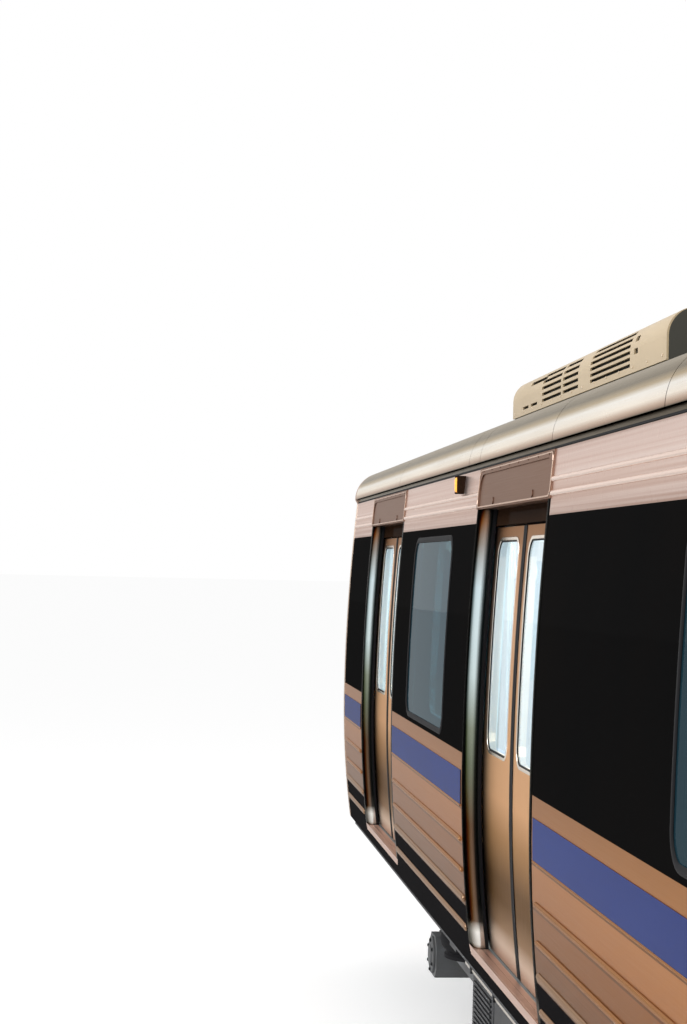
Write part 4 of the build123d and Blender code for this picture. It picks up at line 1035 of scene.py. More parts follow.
def head_shape(tree, given):
    """A fastener's head: a short cylinder under a smaller one, so that its edge looks eased."""
    drums = []
    for share, rise in ((1.0, 0.5), (0.72, 1.0)):
        radius = add(tree, MATH, {0: given[WIDE], 1: share / 2}, operation="MULTIPLY")
        deep = add(tree, MATH, {0: given[DEEP], 1: rise}, operation="MULTIPLY")
        drum = add(tree, "GeometryNodeMeshCylinder", {"Radius": radius, "Depth": deep, "Vertices": 10})
        half = add(tree, MATH, {0: deep, 1: 0.5}, operation="MULTIPLY")
        shift = add(tree, "ShaderNodeCombineXYZ", {"Z": half})
        drums.append(add(tree, "GeometryNodeTransform", {"Geometry": drum, "Translation": shift}))
    return add(tree, "GeometryNodeJoinGeometry", {0: drums})


def bar_shape(tree, given):
    """A flat bar that stands across its line."""
    size = add(tree, "ShaderNodeCombineXYZ", {"X": given[WIDE], "Y": given[TALL], "Z": given[DEEP]})
    return add(tree, "GeometryNodeMeshCube", {"Size": size})


HEADS = repeat_tree("fastener_heads", (PITCH, WIDE, DEEP), head_shape)
BARS = repeat_tree("flat_bars", (PITCH, WIDE, TALL, DEEP), bar_shape)
print("trees", HEADS.name, BARS.name)

# %% [markdown]
# ## Guide lines and grown pieces
# A guide is a mesh of edges only, and each of its points stores which way is outward there. Once a
# tree has grown its heads or bars on a guide, the result is kept as one plain mesh, so the piece needs
# no modifier later and can be exported, counted and checked as it stands.

# %% Guides for repeats
class Guide:
    """Lines whose points carry the outward direction of the surface under them."""

    def __init__(self):
        self.points = []
        self.lines = []
        self.ways = []

    def line(self, points, ways):
        first = len(self.points)
        self.points += [tuple(point) for point in points]
        self.ways += [tuple(way) for way in ways]
        self.lines += [(first + step, first + step + 1) for step in range(len(points) - 1)]

    def wall(self, ends, inset, side, steps=6):
        """A line on a side wall between two (along, height) ends."""
        (x_one, z_one), (x_two, z_two) = ends
        points = []
        for step in range(steps + 1):
            share = step / steps
            z = z_one + (z_two - z_one) * share
            points.append((x_one + (x_two - x_one) * share, side * bow(z, inset), z))
        self.line(points, [(0, side, 0)] * (steps + 1))


def repeat(name, tree, guide, material, body="carbody", slot="stainless", **sizes):
    """Run a tree on a guide and keep the result as one plain mesh that rides on a body."""
    mesh = bpy.data.meshes.new(name)
    mesh.from_pydata(guide.points, guide.lines, [])
    ways = mesh.attributes.new("out", "FLOAT_VECTOR", "POINT")
    ways.data.foreach_set("vector", [value for way in guide.ways for value in way])
    thing = bpy.data.objects.new(name, mesh)
    bpy.context.scene.collection.objects.link(thing)
    changer = thing.modifiers.new("repeat", "NODES")
    changer.node_group = tree
    for item in tree.interface.items_tree:
        if item.in_out == "INPUT" and item.name in sizes:
            changer[item.identifier] = sizes[item.name]
        elif item.in_out == "INPUT" and item.name == "Finish":
            changer[item.identifier] = material
    bpy.context.view_layer.update()
    seen = thing.evaluated_get(bpy.context.evaluated_depsgraph_get())
    grown = bpy.data.meshes.new_from_object(seen)
    thing.modifiers.remove(changer)
    thing.data = grown
    grown.name = name
    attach(thing, body)
    print(name, "triangles", sum(len(face.vertices) - 2 for face in grown.polygons))
    return thing


# %% [markdown]
# ## Covers over the doors
# The cover hides the door gear. A folded frame runs round it, pan-head screws hold its border, and two
# square-key locks at its foot let it swing up. The screws come from the node tree, because they repeat.

# %% Screws and locks of the covers
COVER_BORDER = 0.014
COVER_PROUD = -0.006
FRAME_IN = 0.006
FRAME_CORNER = 0.040
LOCK_X = 0.46
LOCK_Z = DOOR_HIGH + 0.030
LOCK_RADIUS = 0.016
LOCK_SIDES = 16
cover_screws = Guide()
frames, locks = Shape(), Shape()
for _, side in SIDES:
    for x in DOORS:
        top = CANT_HIGH - COVER_BORDER
        edge = (x, DOOR_HIGH + FRAME_IN, CANT_HIGH - FRAME_IN, 2 * (PORTAL_HALF - FRAME_IN), FRAME_CORNER)
        seal(frames, edge, flat_profile(-0.007, 0.0, -0.0085, 0.0), on_side(side))
        for way in (-1, 1):
            edge = x + way * (PORTAL_HALF - COVER_BORDER)
            cover_screws.wall(((edge, DOOR_HIGH + 0.020), (edge, top)), COVER_PROUD, side)
            turns = [2 * pi * step / LOCK_SIDES for step in range(LOCK_SIDES)]
            rim = [(x + way * LOCK_X + LOCK_RADIUS * cos(turn), LOCK_Z + LOCK_RADIUS * sin(turn))
                   for turn in turns]
            tube(locks, [[(along, side * bow(z, inset), z) for along, z in rim] for inset in (0.002, -0.004)])
        cover_screws.wall(((x - PORTAL_HALF + 0.10, top), (x + PORTAL_HALF - 0.10, top)), COVER_PROUD, side)
repeat("cover_screws", HEADS, cover_screws, cover_steel, Pitch=0.190, Wide=0.010, Deep=0.0022)
piece("cover_locks", locks, cover_steel)
piece("cover_frames", frames, fold_steel)
print("cover frames", len(frames.faces))

# %% [markdown]
# ## Sill treads
# Each sill has cast tread plates, split across and along, with thin ribs against slipping. The ribs are
# bars from the node tree, set across a line down the middle of each plate.

# %% Tread plates
TREAD_OUT = 0.006
TREAD_THICK = 0.0025
TREAD_ROWS = ((1.3665, 1.3935), (1.3955, 1.4215))
TREAD_COLUMNS = 4
TREAD_GAP = 0.004
RIB_MARGIN = 0.010
treads = Shape()
tread_ribs = Guide()
for _, side in SIDES:
    for x in DOORS:
        length = 2 * (CLEAR_HALF - TREAD_OUT) / TREAD_COLUMNS
        for column in range(TREAD_COLUMNS):
            start = x - CLEAR_HALF + TREAD_OUT + column * length
            for inner, outer in TREAD_ROWS:
                low, high = sorted((side * inner, side * outer))
                box(treads, (start + TREAD_GAP / 2, low, FLOOR_Z),
                    (start + length - TREAD_GAP / 2, high, FLOOR_Z + TREAD_THICK))
                ends = (start + RIB_MARGIN, start + length - RIB_MARGIN)
                middle = [(end, (low + high) / 2, FLOOR_Z + TREAD_THICK) for end in ends]
                tread_ribs.line(middle, [(0, 0, 1)] * 2)
piece("sill_treads", treads, sill_steel)
repeat("sill_tread_ribs", BARS, tread_ribs, sill_steel, Pitch=0.012, Wide=0.004, Tall=0.020, Deep=0.0012)

# %% [markdown]
# ## Roof edge
# The cant rail is a polished half-round that turns into the roof. It is rolled in lengths, so thin seams
# cross it, and below it a rubber strip lies in the gutter. The section is an arc that ends where its
# slope is the roof's, which the tangent angle gives, so the two skins meet without a kink.

# %% Cant rail and gutter
CANT_RADIUS = RAIL_TALL
CANT_EDGE = 1.430
CANT_THICK = 0.045
CANT_CENTRE = CANT_EDGE - CANT_RADIUS
CROWN = CREST - GUTTER_HIGH
ROOF_RADIUS = (CANT_CENTRE ** 2 + CROWN ** 2 - CANT_RADIUS ** 2) / (2 * (CROWN - CANT_RADIUS))
ROOF_CENTRE = CREST - ROOF_RADIUS
TANGENT = atan2(GUTTER_HIGH - ROOF_CENTRE, CANT_CENTRE)
RAIL_STEPS = 28
RAIL_SEAMS = (1.04, 2.72, 4.39, 4.70, 7.36)
SEAM = 0.008


def rail_section(side, radius_out, radius_in):
    """The rail's curved strip as (y, z) points, from the gutter to the roof and back."""
    turns = [TANGENT * step / RAIL_STEPS for step in range(RAIL_STEPS + 1)]
    points = []
    for radius, order in ((radius_out, turns), (radius_in, turns[::-1])):
        for turn in order:
            points.append((side * (CANT_CENTRE + radius * cos(turn)), GUTTER_HIGH + radius * sin(turn)))
    return points


rails, seams, gutters = Shape(), Shape(), Shape()
places = sorted([way * x for x in RAIL_SEAMS for way in (-1, 1)] + [-WALL_END, WALL_END])
web_in, web_out = CANT_EDGE - CANT_THICK - 0.005, CANT_EDGE - 0.020
for _, side in SIDES:
    rail = rail_section(side, CANT_RADIUS, CANT_RADIUS - CANT_THICK)
    for start, end in zip(places, places[1:]):
        sweep_x(rails, rail, start + SEAM / 2, end - SEAM / 2)
    filler = rail_section(side, CANT_RADIUS - 0.0015, CANT_RADIUS - CANT_THICK + 0.005)
    sweep_x(seams, filler, -WALL_END + 0.01, WALL_END - 0.01)
    web = ((web_in, CANT_HIGH), (web_out, CANT_HIGH), (web_out, GUTTER_HIGH), (web_in, GUTTER_HIGH))
    sweep_x(rails, [(side * y, z) for y, z in web], -WALL_END, WALL_END)
    strip = ((-0.001, 0.001), (0.004, 0.003), (0.004, 0.010), (-0.001, 0.012))
    strip = [(side * (web_out + y), CANT_HIGH + z) for y, z in strip]
    sweep_x(gutters, strip, -WALL_END + 0.002, WALL_END - 0.002)
piece("roof_edge_rails", rails, rail_steel, replaces=("cant_rails",))
piece("roof_edge_seams", seams, seal_black)
piece("gutter_strips", gutters, seal_black)
print("rails", len(rails.faces))

# %% [markdown]
# ## Roof skin
# Half-round straps cover the joints between the roof sheets, and rows of rivets hold them. A strap bends
# with the roof's arc, and under a cooling unit only its ends show, so it is made in two lengths there.

# %% Roof straps
STRAP_PITCH = 1.420
STRAP_WIDE = 0.050
STRAP_PROUD = 0.004
ROOF_STEPS = 30
STRAP_ROOT = 0.006
STRAP_SHARE = 0.985
UNIT_ENDS = (2.60, 5.80)
UNIT_SPAN = 0.180
UNIT_CLEAR = 1.040
RIVET_SHIFT = 0.017
RIVET_PROUD = 0.0028


def roof_place(turn, proud):
    """A point of the roof's arc at an angle from upright, as (y, z)."""
    return ((ROOF_RADIUS + proud) * sin(turn), ROOF_CENTRE + (ROOF_RADIUS + proud) * cos(turn))


def strap_ring(x, turn):
    """The half-round section of a strap where it crosses one angle of the roof."""
    ring = []
    for step in range(7):
        angle = pi * step / 6
        ring.append((x - STRAP_WIDE / 2 * cos(angle), *roof_place(turn, STRAP_PROUD * sin(angle) - 0.0005)))
    return ring + [(x + way * STRAP_WIDE / 2, *roof_place(turn, -STRAP_ROOT)) for way in (1, -1)]


roof_half = pi / 2 - TANGENT
straps = Shape()
rivets = Guide()
count = int(2 * WALL_END / STRAP_PITCH)
for number in range(1, count + 1):
    x = -WALL_END + number * 2 * WALL_END / (count + 1)
    under_unit = UNIT_ENDS[0] - 0.1 < abs(x) < UNIT_ENDS[1] + 0.1
    spans = ((UNIT_SPAN, 1.0), (-1.0, -UNIT_SPAN)) if under_unit else ((-1.0, 1.0),)
    for low, high in spans:
        turns = [STRAP_SHARE * roof_half * (low + (high - low) * step / ROOF_STEPS)
                 for step in range(ROOF_STEPS + 1)]
        if under_unit:
            turns = [turn for turn in turns if abs(roof_place(turn, 0)[0]) > UNIT_CLEAR]
        if len(turns) < 2:
            continue
        tube(straps, [strap_ring(x, turn) for turn in turns])
        for shift in (-RIVET_SHIFT, RIVET_SHIFT):
            rivets.line([(x + shift, *roof_place(turn, RIVET_PROUD)) for turn in turns],
                        [(0, sin(turn), cos(turn)) for turn in turns])
piece("roof_straps", straps, roof_paint)
repeat("roof_rivets", HEADS, rivets, roof_paint, Pitch=0.075, Wide=0.011, Deep=0.003)

# %% [markdown]
# ## Door lamp
# An amber lens in a dark bracket lights up when a door beside it stands open. The lens is a loop that
# shrinks towards the front, which rounds its edge, and the bracket is two cheeks beside it.

# %% Door lamps
LAMP_X = DOORS[2] + 1.360
LAMP_Z = RAIL + 3.202
LAMP_WIDE = 0.050
LAMP_HALF = 0.035
LAMP_CORNER = 0.014
LAMP_PROUD = 0.034
LENS_STEPS = ((0.0, -0.002), (0.0, 0.003), (0.004, 0.007), (0.012, 0.009))
CHEEKS = (0.0302, 0.0345)
CHEEK_HALF = 0.043
CHEEK_EDGE = 0.004
lenses, brackets = Shape(), Shape()
for _, side in SIDES:
    face = bow(LAMP_Z)
    rings = []
    for shrink, proud in LENS_STEPS:
        outline = loop(LAMP_X, LAMP_Z - LAMP_HALF, LAMP_Z + LAMP_HALF, LAMP_WIDE, LAMP_CORNER, -shrink)
        rings.append([(along, side * (face + LAMP_PROUD + proud), z) for along, z in outline])
    tube(lenses, rings)
    ys = sorted((side * (face - CHEEK_EDGE), side * (face + LAMP_PROUD + CHEEK_EDGE)))
    for way in (-1, 1):
        xs = sorted(LAMP_X + way * reach for reach in CHEEKS)
        box(brackets, (xs[0], ys[0], LAMP_Z - CHEEK_HALF), (xs[1], ys[1], LAMP_Z + CHEEK_HALF))
piece("door_lamp_lenses", lenses, amber)
piece("door_lamp_brackets", brackets, header_black)
print("lamps", len(lenses.faces))

# %% [markdown]
# ## Ends of the car
# A bright angle covers each corner where side and end meet, and each end window has a rubber section.
# The angle follows the wall's bow, while the end is flat, so its seals are loops on a plane.

# %% End corners and end windows
CORNER_LOW = RAIL + 1.010
CORNER_HIGH = CANT_HIGH - 0.004
CORNER_STRIP = (WALL_END + 0.012, BODY_END - 0.006)
END_WINDOW = (0.915, 0.420)
END_CORNER = 0.090
corner_strips, end_seals = Shape(), Shape()
for _, side in SIDES:
    for _, way in ENDS:
        xs = sorted(way * x for x in CORNER_STRIP)
        strip_up(corner_strips, *xs, CORNER_LOW, CORNER_HIGH, -0.003, 0.004, side, 24)
        outline = (side * END_WINDOW[0], WINDOW_LOW, WINDOW_HIGH, END_WINDOW[1], END_CORNER)
        face = on_plane(way * (BODY_END - 0.0055), way)
        seal(end_seals, outline, round_profile(0.002, 0.0, 0.030, 0.010), face)
piece("corner_strips", corner_strips, stainless_bright)
piece("end_window_seals", end_seals, seal_black)
print("end trims", len(corner_strips.faces) + len(end_seals.faces))

# %% [markdown]
# ## Round parts, pipes and covers
# Wheels, bellows and caps are turned: one outline is carried round an axis. Pipes, handrails and
# springs are round bars along a path, and a path's corners are rounded off as a pipe bender leaves
# them. Lids and plates are pressed covers with an eased edge.

# %% Turning and bending
X_AXIS, Y_AXIS, Z_AXIS = 0, 1, 2
TURN_STEPS = 56


def circle_round(centre, radius, axis, steps, reach=0.0):
    """Corners of a circle round an axis through a centre, moved along the axis by a reach."""
    along, one, two = ((0, 1, 2), (1, 2, 0), (2, 0, 1))[axis]
    corners = []
    for step in range(steps):
        corner = list(centre)
        corner[along] += reach
        corner[one] += radius * cos(2 * pi * step / steps)
        corner[two] += radius * sin(2 * pi * step / steps)
        corners.append(corner)
    return corners


def turned(shape, outline, centre, axis, steps=TURN_STEPS, closed=False):
    """Carry an outline of (along the axis, radius) points round an axis through a centre."""
    tube(shape, [circle_round(centre, radius, axis, steps, reach) for reach, radius in outline], closed)


def rounded(points, bend, steps=8):
    """A path through corners that are each rounded off over a length."""
    points = [Vector(point) for point in points]
    path = [points[0]]
    for before, corner, after in zip(points, points[1:], points[2:]):
        start = corner + (before - corner).normalized() * bend
        end = corner + (after - corner).normalized() * bend
        for step in range(steps + 1):
            share = step / steps
            path.append(start.lerp(corner, share).lerp(corner.lerp(end, share), share))
    return path + [points[-1]]


def pipe(shape, path, radius, sides=12):
    """A round bar along a path."""
    path = [Vector(point) for point in path]
    across = (path[1] - path[0]).orthogonal()
    rings = []
    for number, point in enumerate(path):
        along = (path[min(number + 1, len(path) - 1)] - path[max(number - 1, 0)]).normalized()
        across = (across - along * across.dot(along)).normalized()
        beside = along.cross(across)
        turns = [2 * pi * step / sides for step in range(sides)]
        rings.append([point + radius * (across * cos(turn) + beside * sin(turn)) for turn in turns])
    tube(shape, rings)


def cover(shape, outline, thick, place, foot):
    """A pressed cover with rounded corners and an eased front edge, standing on a surface."""
    rings = []
    for shrink, proud in ((0.0, -foot), (0.0, thick * 0.6), (thick * 0.4, thick)):
        rings.append([place(along, z, -proud) for along, z in loop(*outline, -shrink)])
    tube(shape, rings)


def on_flat(y, side):
    """Place a loop's point on an upright face of the underframe, some way behind it."""
    return lambda along, z, inset: (along, side * (y - inset), z)


def bolt_circle(guide, centre, radius, axis, way, steps=24):
    """A closed guide line round an axis, for a ring of bolts."""
    facing = [0, 0, 0]
    facing[axis] = way
    first = len(guide.points)
    guide.line(circle_round(centre, radius, axis, steps), [facing] * steps)
    guide.lines.append((first + steps - 1, first))


print("wheels are turned in", TURN_STEPS, "steps")

# %% [markdown]
# ## Wheels
# The rolled wheel has a flange, a tread that cones slightly outward, a thick rim and a thin dished web,
# and bolted brake discs stand on the web. One outline holds both wheels and the axle, so the CAD's
# wheelset with its flats is replaced by one turned body. The finish finds the tread and the disc's
# rubbed face by their radius from the axle.

# %% Wheel steel
PIVOT_X = 6.700
AXLE_HALF = 1.050
AXLE_Z = 0.453
TREAD_BAND = (0.4215, 0.4450)
TREAD_ACROSS = (0.695, 0.792)
DISC_BAND = (0.212, 0.314)
DISC_FACE = 0.8025


def wheel_finish():
    """Brown rolled steel, bright on the running band and on the disc's rubbed face."""
    made, tree, place = new_material("wheel_rolled_steel")
    rust = mottle(tree, place, (55.6, 55.6, 55.6), 5.0)
    along, across, height = parts_of(tree, place)
    rise = add(tree, MATH, {0: height, 1: AXLE_Z}, operation="SUBTRACT")
    radius = distance(tree, from_nearest(tree, along, PIVOT_X, AXLE_HALF), rise)
    running = between(tree, radius, *TREAD_BAND)
    tread = add(tree, MATH, {0: running, 1: between(tree, across, *TREAD_ACROSS)}, operation="MULTIPLY")
    outside = add(tree, MATH, {0: across, 1: DISC_FACE}, operation="GREATER_THAN")
    face = add(tree, MATH, {0: between(tree, radius, *DISC_BAND), 1: outside}, operation="MULTIPLY")
    bright = add(tree, MATH, {0: tread, 1: face}, operation="MAXIMUM")
    brown = add(tree, MIX, {FACTOR: rust, ONE: linear("#5A4A40"), TWO: linear("#3E352F")}, MIXED,
                data_type="RGBA")
    rough = add(tree, RANGE, {"Value": rust, "To Min": 0.55, "To Max": 0.70})
    polish = add(tree, MATH, {0: bright, 1: 0.35}, operation="MULTIPLY")
    colour = add(tree, MIX, {FACTOR: bright, ONE: brown, TWO: linear("#C9C4BE")}, MIXED, data_type="RGBA")
    add(tree, OUTPUT, {"Surface": add(tree, SURFACE, {
        "Base Color": colour,
        "Metallic": add(tree, RANGE, {"Value": bright, "To Min": 0.5, "To Max": 1.0}),
        "Roughness": add(tree, MATH, {0: rough, 1: polish}, operation="SUBTRACT"),
        "Normal": add(tree, BUMP, {"Height": rust, "Distance": 0.0002}),
    })})
    return made


# Rolled wheel steel: brake dust turns it brown, and the rail keeps the tread bright
wheel_rolled = wheel_finish()
print("tread between", TREAD_BAND)

# %% [markdown]
# ## Wheelsets
# The same outline serves all four axles. Each wheelset turns about its own axle, so its wheels, discs
# and bolts ride on its own body. The bolts stand in a ring, which is a guide line closed on itself.

# %% Wheelsets
# Half a wheelset's outline from the axle's middle outwards, as (along the axle, radius): web, rim's inner
# face, flange, tread, rim's outer face, web and hub, and the journal
WHEEL_OUTLINE = (
    (0.6400, 0.080), (0.6520, 0.086), (0.6765, 0.118), (0.6820, 0.125), (0.7150, 0.131), (0.7280, 0.150),
    (0.7350, 0.190), (0.7380, 0.300), (0.7310, 0.332), (0.7120, 0.347), (0.6840, 0.351), (0.6765, 0.359),
    (0.6765, 0.4440), (0.6795, 0.4505), (0.6855, 0.4530), (0.6925, 0.4508), (0.6985, 0.4435), (0.7030, 0.4350),
    (0.7090, 0.4288), (0.7180, 0.4260), (0.7460, 0.4250), (0.7900, 0.4226), (0.8025, 0.4205), (0.8065, 0.4165),
    (0.8065, 0.3590), (0.8000, 0.3510), (0.7860, 0.3470), (0.7750, 0.3320), (0.7700, 0.3000), (0.7710, 0.1900),
    (0.7780, 0.1520), (0.7900, 0.1320), (0.8200, 0.1250), (0.8265, 0.1190), (0.8265, 0.0800), (0.8465, 0.0800),
    (0.8490, 0.0720), (0.8530, 0.0650), (1.0410, 0.0650), (1.0450, 0.0610))
DISC_OUTLINE = (
    (0.7660, 0.205), (0.8000, 0.205), (0.8030, 0.208), (0.8030, 0.318), (0.8000, 0.321), (0.7660, 0.321))
DISC_BOLT_Y = 0.771
DISC_BOLT_RADIUS = 0.186
AXLES = (PIVOT_X + AXLE_HALF, PIVOT_X - AXLE_HALF, AXLE_HALF - PIVOT_X, -AXLE_HALF - PIVOT_X)
for number, x in enumerate(AXLES, start=1):
    body = f"wheelset_{number}"
    centre = (x, 0.0, AXLE_Z)
    wheels, discs = Shape(), Shape()
    disc_bolts = Guide()
    other_half = [(-reach, radius) for reach, radius in reversed(WHEEL_OUTLINE)]
    turned(wheels, other_half + list(WHEEL_OUTLINE), centre, Y_AXIS)
    for side in (1, -1):
        turned(discs, [(side * reach, radius) for reach, radius in DISC_OUTLINE], centre, Y_AXIS, closed=True)
        bolt_circle(disc_bolts, (x, side * DISC_BOLT_Y, AXLE_Z), DISC_BOLT_RADIUS, Y_AXIS, side)
    piece(f"{body}_rolled", wheels, wheel_rolled, body, (body,))
    piece(f"{body}_discs", discs, wheel_rolled, body)
    repeat(f"{body}_disc_bolts", HEADS, disc_bolts, wheel_steel, body, "wheel_steel",
           Pitch=0.0974, Wide=0.024, Deep=0.012)
print("wheel outline points", len(WHEEL_OUTLINE))

# %% [markdown]
# ## Bogies
# Round caps with bolts close the axle boxes, coil springs stand on them, and rubber bellows with two
# folds carry the body. Fins cool the motors. A coil is a pipe along a helix, worked out by its turns.

# %% Springs, caps, bellows and motors
CAP_OUTLINE = ((-0.004, 0.112), (0.010, 0.112), (0.015, 0.107), (0.016, 0.066), (0.024, 0.060), (0.026, 0.010))
CAP_BOLT_RADIUS = 0.088
CAP_BOLT_PROUD = 0.0155
BOX_FACE = 1.115
SPRING_Y = 0.995
SPRING_Z = (0.586, 0.720)
COIL_RADIUS = 0.074
COIL_WIRE = 0.010
COIL_TURNS = 4
TURN_POINTS = 18
BELLOWS_OUTLINE = (
    (0.638, 0.205), (0.656, 0.205), (0.660, 0.196), (0.668, 0.190), (0.684, 0.205), (0.706, 0.222),
    (0.734, 0.230), (0.764, 0.226), (0.788, 0.208), (0.800, 0.196), (0.806, 0.194), (0.812, 0.196),
    (0.824, 0.208), (0.848, 0.226), (0.878, 0.230), (0.906, 0.222), (0.928, 0.205), (0.944, 0.192),
    (0.950, 0.200), (0.972, 0.200))
MOTOR_X = 0.665
MOTOR_Z = 0.553
MOTOR_FINS = 9
MOTOR_HALF = 0.240
FIN_OUTLINE = ((-0.004, 0.205), (-0.003, 0.222), (0.003, 0.222), (0.004, 0.205))
LUG_OUTLINE = ((-0.012, 0.016), (0.012, 0.016))
LUG_X = 0.300
LUG_Y = 1.068
LUG_Z = 0.588


def coil(shape, x, y, low, high):
    """A spring's wire from its seat to its head."""
    steps = COIL_TURNS * TURN_POINTS
    path = []
    for step in range(steps + 1):
        turn = 2 * pi * step / TURN_POINTS
        height = low + (high - low) * step / steps
        path.append((x + COIL_RADIUS * cos(turn), y + COIL_RADIUS * sin(turn), height))
    pipe(shape, path, COIL_WIRE, 8)


for end_name, end_way in ENDS:
    body = f"bogie_{end_name}"
    pivot = end_way * PIVOT_X
    caps, coils, bellows, fins, lugs = Shape(), Shape(), Shape(), Shape(), Shape()
    cap_bolts = Guide()
    for _, side in SIDES:
        cap = [(side * reach, radius) for reach, radius in CAP_OUTLINE]
        for way in (-1, 1):
            x = pivot + way * AXLE_HALF
            turned(caps, cap, (x, side * BOX_FACE, AXLE_Z), Y_AXIS, 40)
            middle = (x, side * (BOX_FACE + CAP_BOLT_PROUD), AXLE_Z)
            bolt_circle(cap_bolts, middle, CAP_BOLT_RADIUS, Y_AXIS, side)
            coil(coils, x, side * SPRING_Y, *SPRING_Z)
            turned(lugs, LUG_OUTLINE, (pivot + way * LUG_X, side * LUG_Y, LUG_Z), Y_AXIS, 16)
        turned(bellows, BELLOWS_OUTLINE, (pivot, side * SPRING_Y, 0.0), Z_AXIS, 64)
    for way in (-1, 1):
        for fin in range(MOTOR_FINS):
            y = MOTOR_HALF * (2 * fin / (MOTOR_FINS - 1) - 1)
            turned(fins, FIN_OUTLINE, (pivot + way * MOTOR_X, y, MOTOR_Z), Y_AXIS, 40, closed=True)
    piece(f"axle_caps_{end_name}", caps, bogie_paint, body)
    repeat(f"axle_cap_bolts_{end_name}", HEADS, cap_bolts, underframe_black, body, "bogie_grey",
           Pitch=0.0921, Wide=0.024, Deep=0.010)
    piece(f"axle_coils_{end_name}", coils, underframe_black, body)
    piece(f"bogie_lugs_{end_name}", lugs, underframe_black, body)
    piece(f"air_bellows_{end_name}", bellows, spring_rubber, body, (f"air_springs_{end_name}",))
    piece(f"motor_fins_{end_name}", fins, underframe_black, body)
print("bellows points", len(BELLOWS_OUTLINE))

# %% [markdown]
# ## Underfloor cases
# Each case has lids with eased edges, turned latches at their foot and hinges at their head. Banks of
# blades let air into the cases that need cooling, and an air pipe clipped to the frame runs past them.
# Lids and hinges differ in width from case to case, so a loop makes them, while latches, blades and
# clips are all alike and come from the node trees.

# %% Lids, latches, louvres and air pipe
# Each case as its two ends in shares of the row's half length, and its lower edge
CASES = ((-1.00, -0.67, 0.458), (-0.64, -0.20, 0.408), (-0.17, 0.26, 0.458), (0.29, 0.59, 0.508),
         (0.62, 1.00, 0.428))
CASE_HALF = 4.900
CASE_FACE = 1.330
CASE_TOP = 0.978
CASE_EDGE = 0.030
LID_LOW = 0.055
LID_SHORT = 0.035
LID_WIDE = 0.720
LID_GAP = 0.016
LID_CORNER = 0.020
LID_THICK = 0.007
LATCH_UP = 0.040
LATCH_SHARE = 0.30
HINGE_SHARE = 0.28
HINGE_HALF = 0.035
HINGE_RADIUS = 0.008
LOUVRED = (0, 2, 4)
LOUVRE_MARGINS = (0.110, 0.060)
PIPE_Y = 1.362
PIPE_Z = 0.957
PIPE_ENTRY = (1.250, 1.040)
lids, hinges, air_pipe = Shape(), Shape(), Shape()
latches, blades, clips = Guide(), Guide(), Guide()


def fit_lid(side, x, width, low, high, louvred):
    """One lid with its hinges, and the guide lines of its latches and blades."""
    face = side * (CASE_FACE + LID_THICK)
    outward = [(0, side, 0)] * 2
    cover(lids, (x, low, high, width - LID_GAP, LID_CORNER), LID_THICK, on_flat(CASE_FACE, side), 0.002)
    latches.line([(x + way * width * LATCH_SHARE, face, low + LATCH_UP) for way in (-1, 1)], outward)
    for way in (-1, 1):
        reach = x + way * width * HINGE_SHARE
        pipe(hinges, [(reach + end * HINGE_HALF, face, high + LID_THICK) for end in (-1, 1)], HINGE_RADIUS, 10)
    if louvred:
        blades.line([(x, face, low + LOUVRE_MARGINS[0]), (x, face, high - LOUVRE_MARGINS[1])], outward)


for _, side in SIDES:
    for number, (low_share, high_share, bottom) in enumerate(CASES):
        start, end = low_share * CASE_HALF + CASE_EDGE, high_share * CASE_HALF - CASE_EDGE
        count = max(1, round((end - start) / LID_WIDE))
        width = (end - start) / count
        for lid in range(count):
            fit_lid(side, start + (lid + 0.5) * width, width, bottom + LID_LOW, CASE_TOP - LID_SHORT,
                    number in LOUVRED and lid % 2 == 0)
    route = [(-CASE_HALF, side * PIPE_ENTRY[0], PIPE_ENTRY[1]), (-CASE_HALF, side * PIPE_Y, PIPE_Z),
             (CASE_HALF, side * PIPE_Y, PIPE_Z), (CASE_HALF, side * PIPE_ENTRY[0], PIPE_ENTRY[1])]
    pipe(air_pipe, rounded(route, 0.040), 0.013, 12)
    clips.line([(way * (CASE_HALF - 0.2), side * PIPE_Y, PIPE_Z) for way in (-1, 1)], [(0, side, 0)] * 2)
piece("case_lids", lids, underframe_black)
piece("case_hinges", hinges, underframe_black)
piece("underfloor_pipe", air_pipe, pole_steel)
repeat("case_latches", HEADS, latches, pole_steel, slot="underframe_black",
       Pitch=0.400, Wide=0.034, Deep=0.007)
repeat("case_louvres", BARS, blades, underframe_black, slot="underframe_black",
       Pitch=0.024, Wide=0.460, Tall=0.010, Deep=0.016)
repeat("pipe_clips", BARS, clips, underframe_black, slot="underframe_black",
       Pitch=0.600, Wide=0.026, Tall=0.036, Deep=0.034)

# %% [markdown]
# ## Ends: door furniture and handrails
# The end door has a pull, a scuffed kick plate and a pane in a rubber section. A handrail with screwed
# feet stands on each side of it. Pull and handrail are bent bars, so both are pipes along a path that
# leaves the sheet, runs up and comes back.

# %% End furniture
DOOR_FACE = 9.980
DOOR_PANE = (0.0, 2.028, 2.898, 0.460, 0.080)
PULL_Y = -0.300
PULL_Z = (1.92, 2.16)
KICK_PLATE = (0.0, 1.175, 1.480, 0.680, 0.012)
KICK_SCREW_Y = 0.320
HANDRAIL_Y = 0.560
HANDRAIL_Z = (1.30, 2.45)
HANDRAIL_FOOT = ((-0.002, 0.030), (0.004, 0.030), (0.006, 0.028))


def bent_bar(shape, x, y, heights, way, stand, bend, radius):
    """A bar that leaves a flat face, runs up beside it and comes back."""
    low, high = heights
    out = x + way * stand
    pipe(shape, rounded([(x, y, low), (out, y, low), (out, y, high), (x, y, high)], bend), radius)


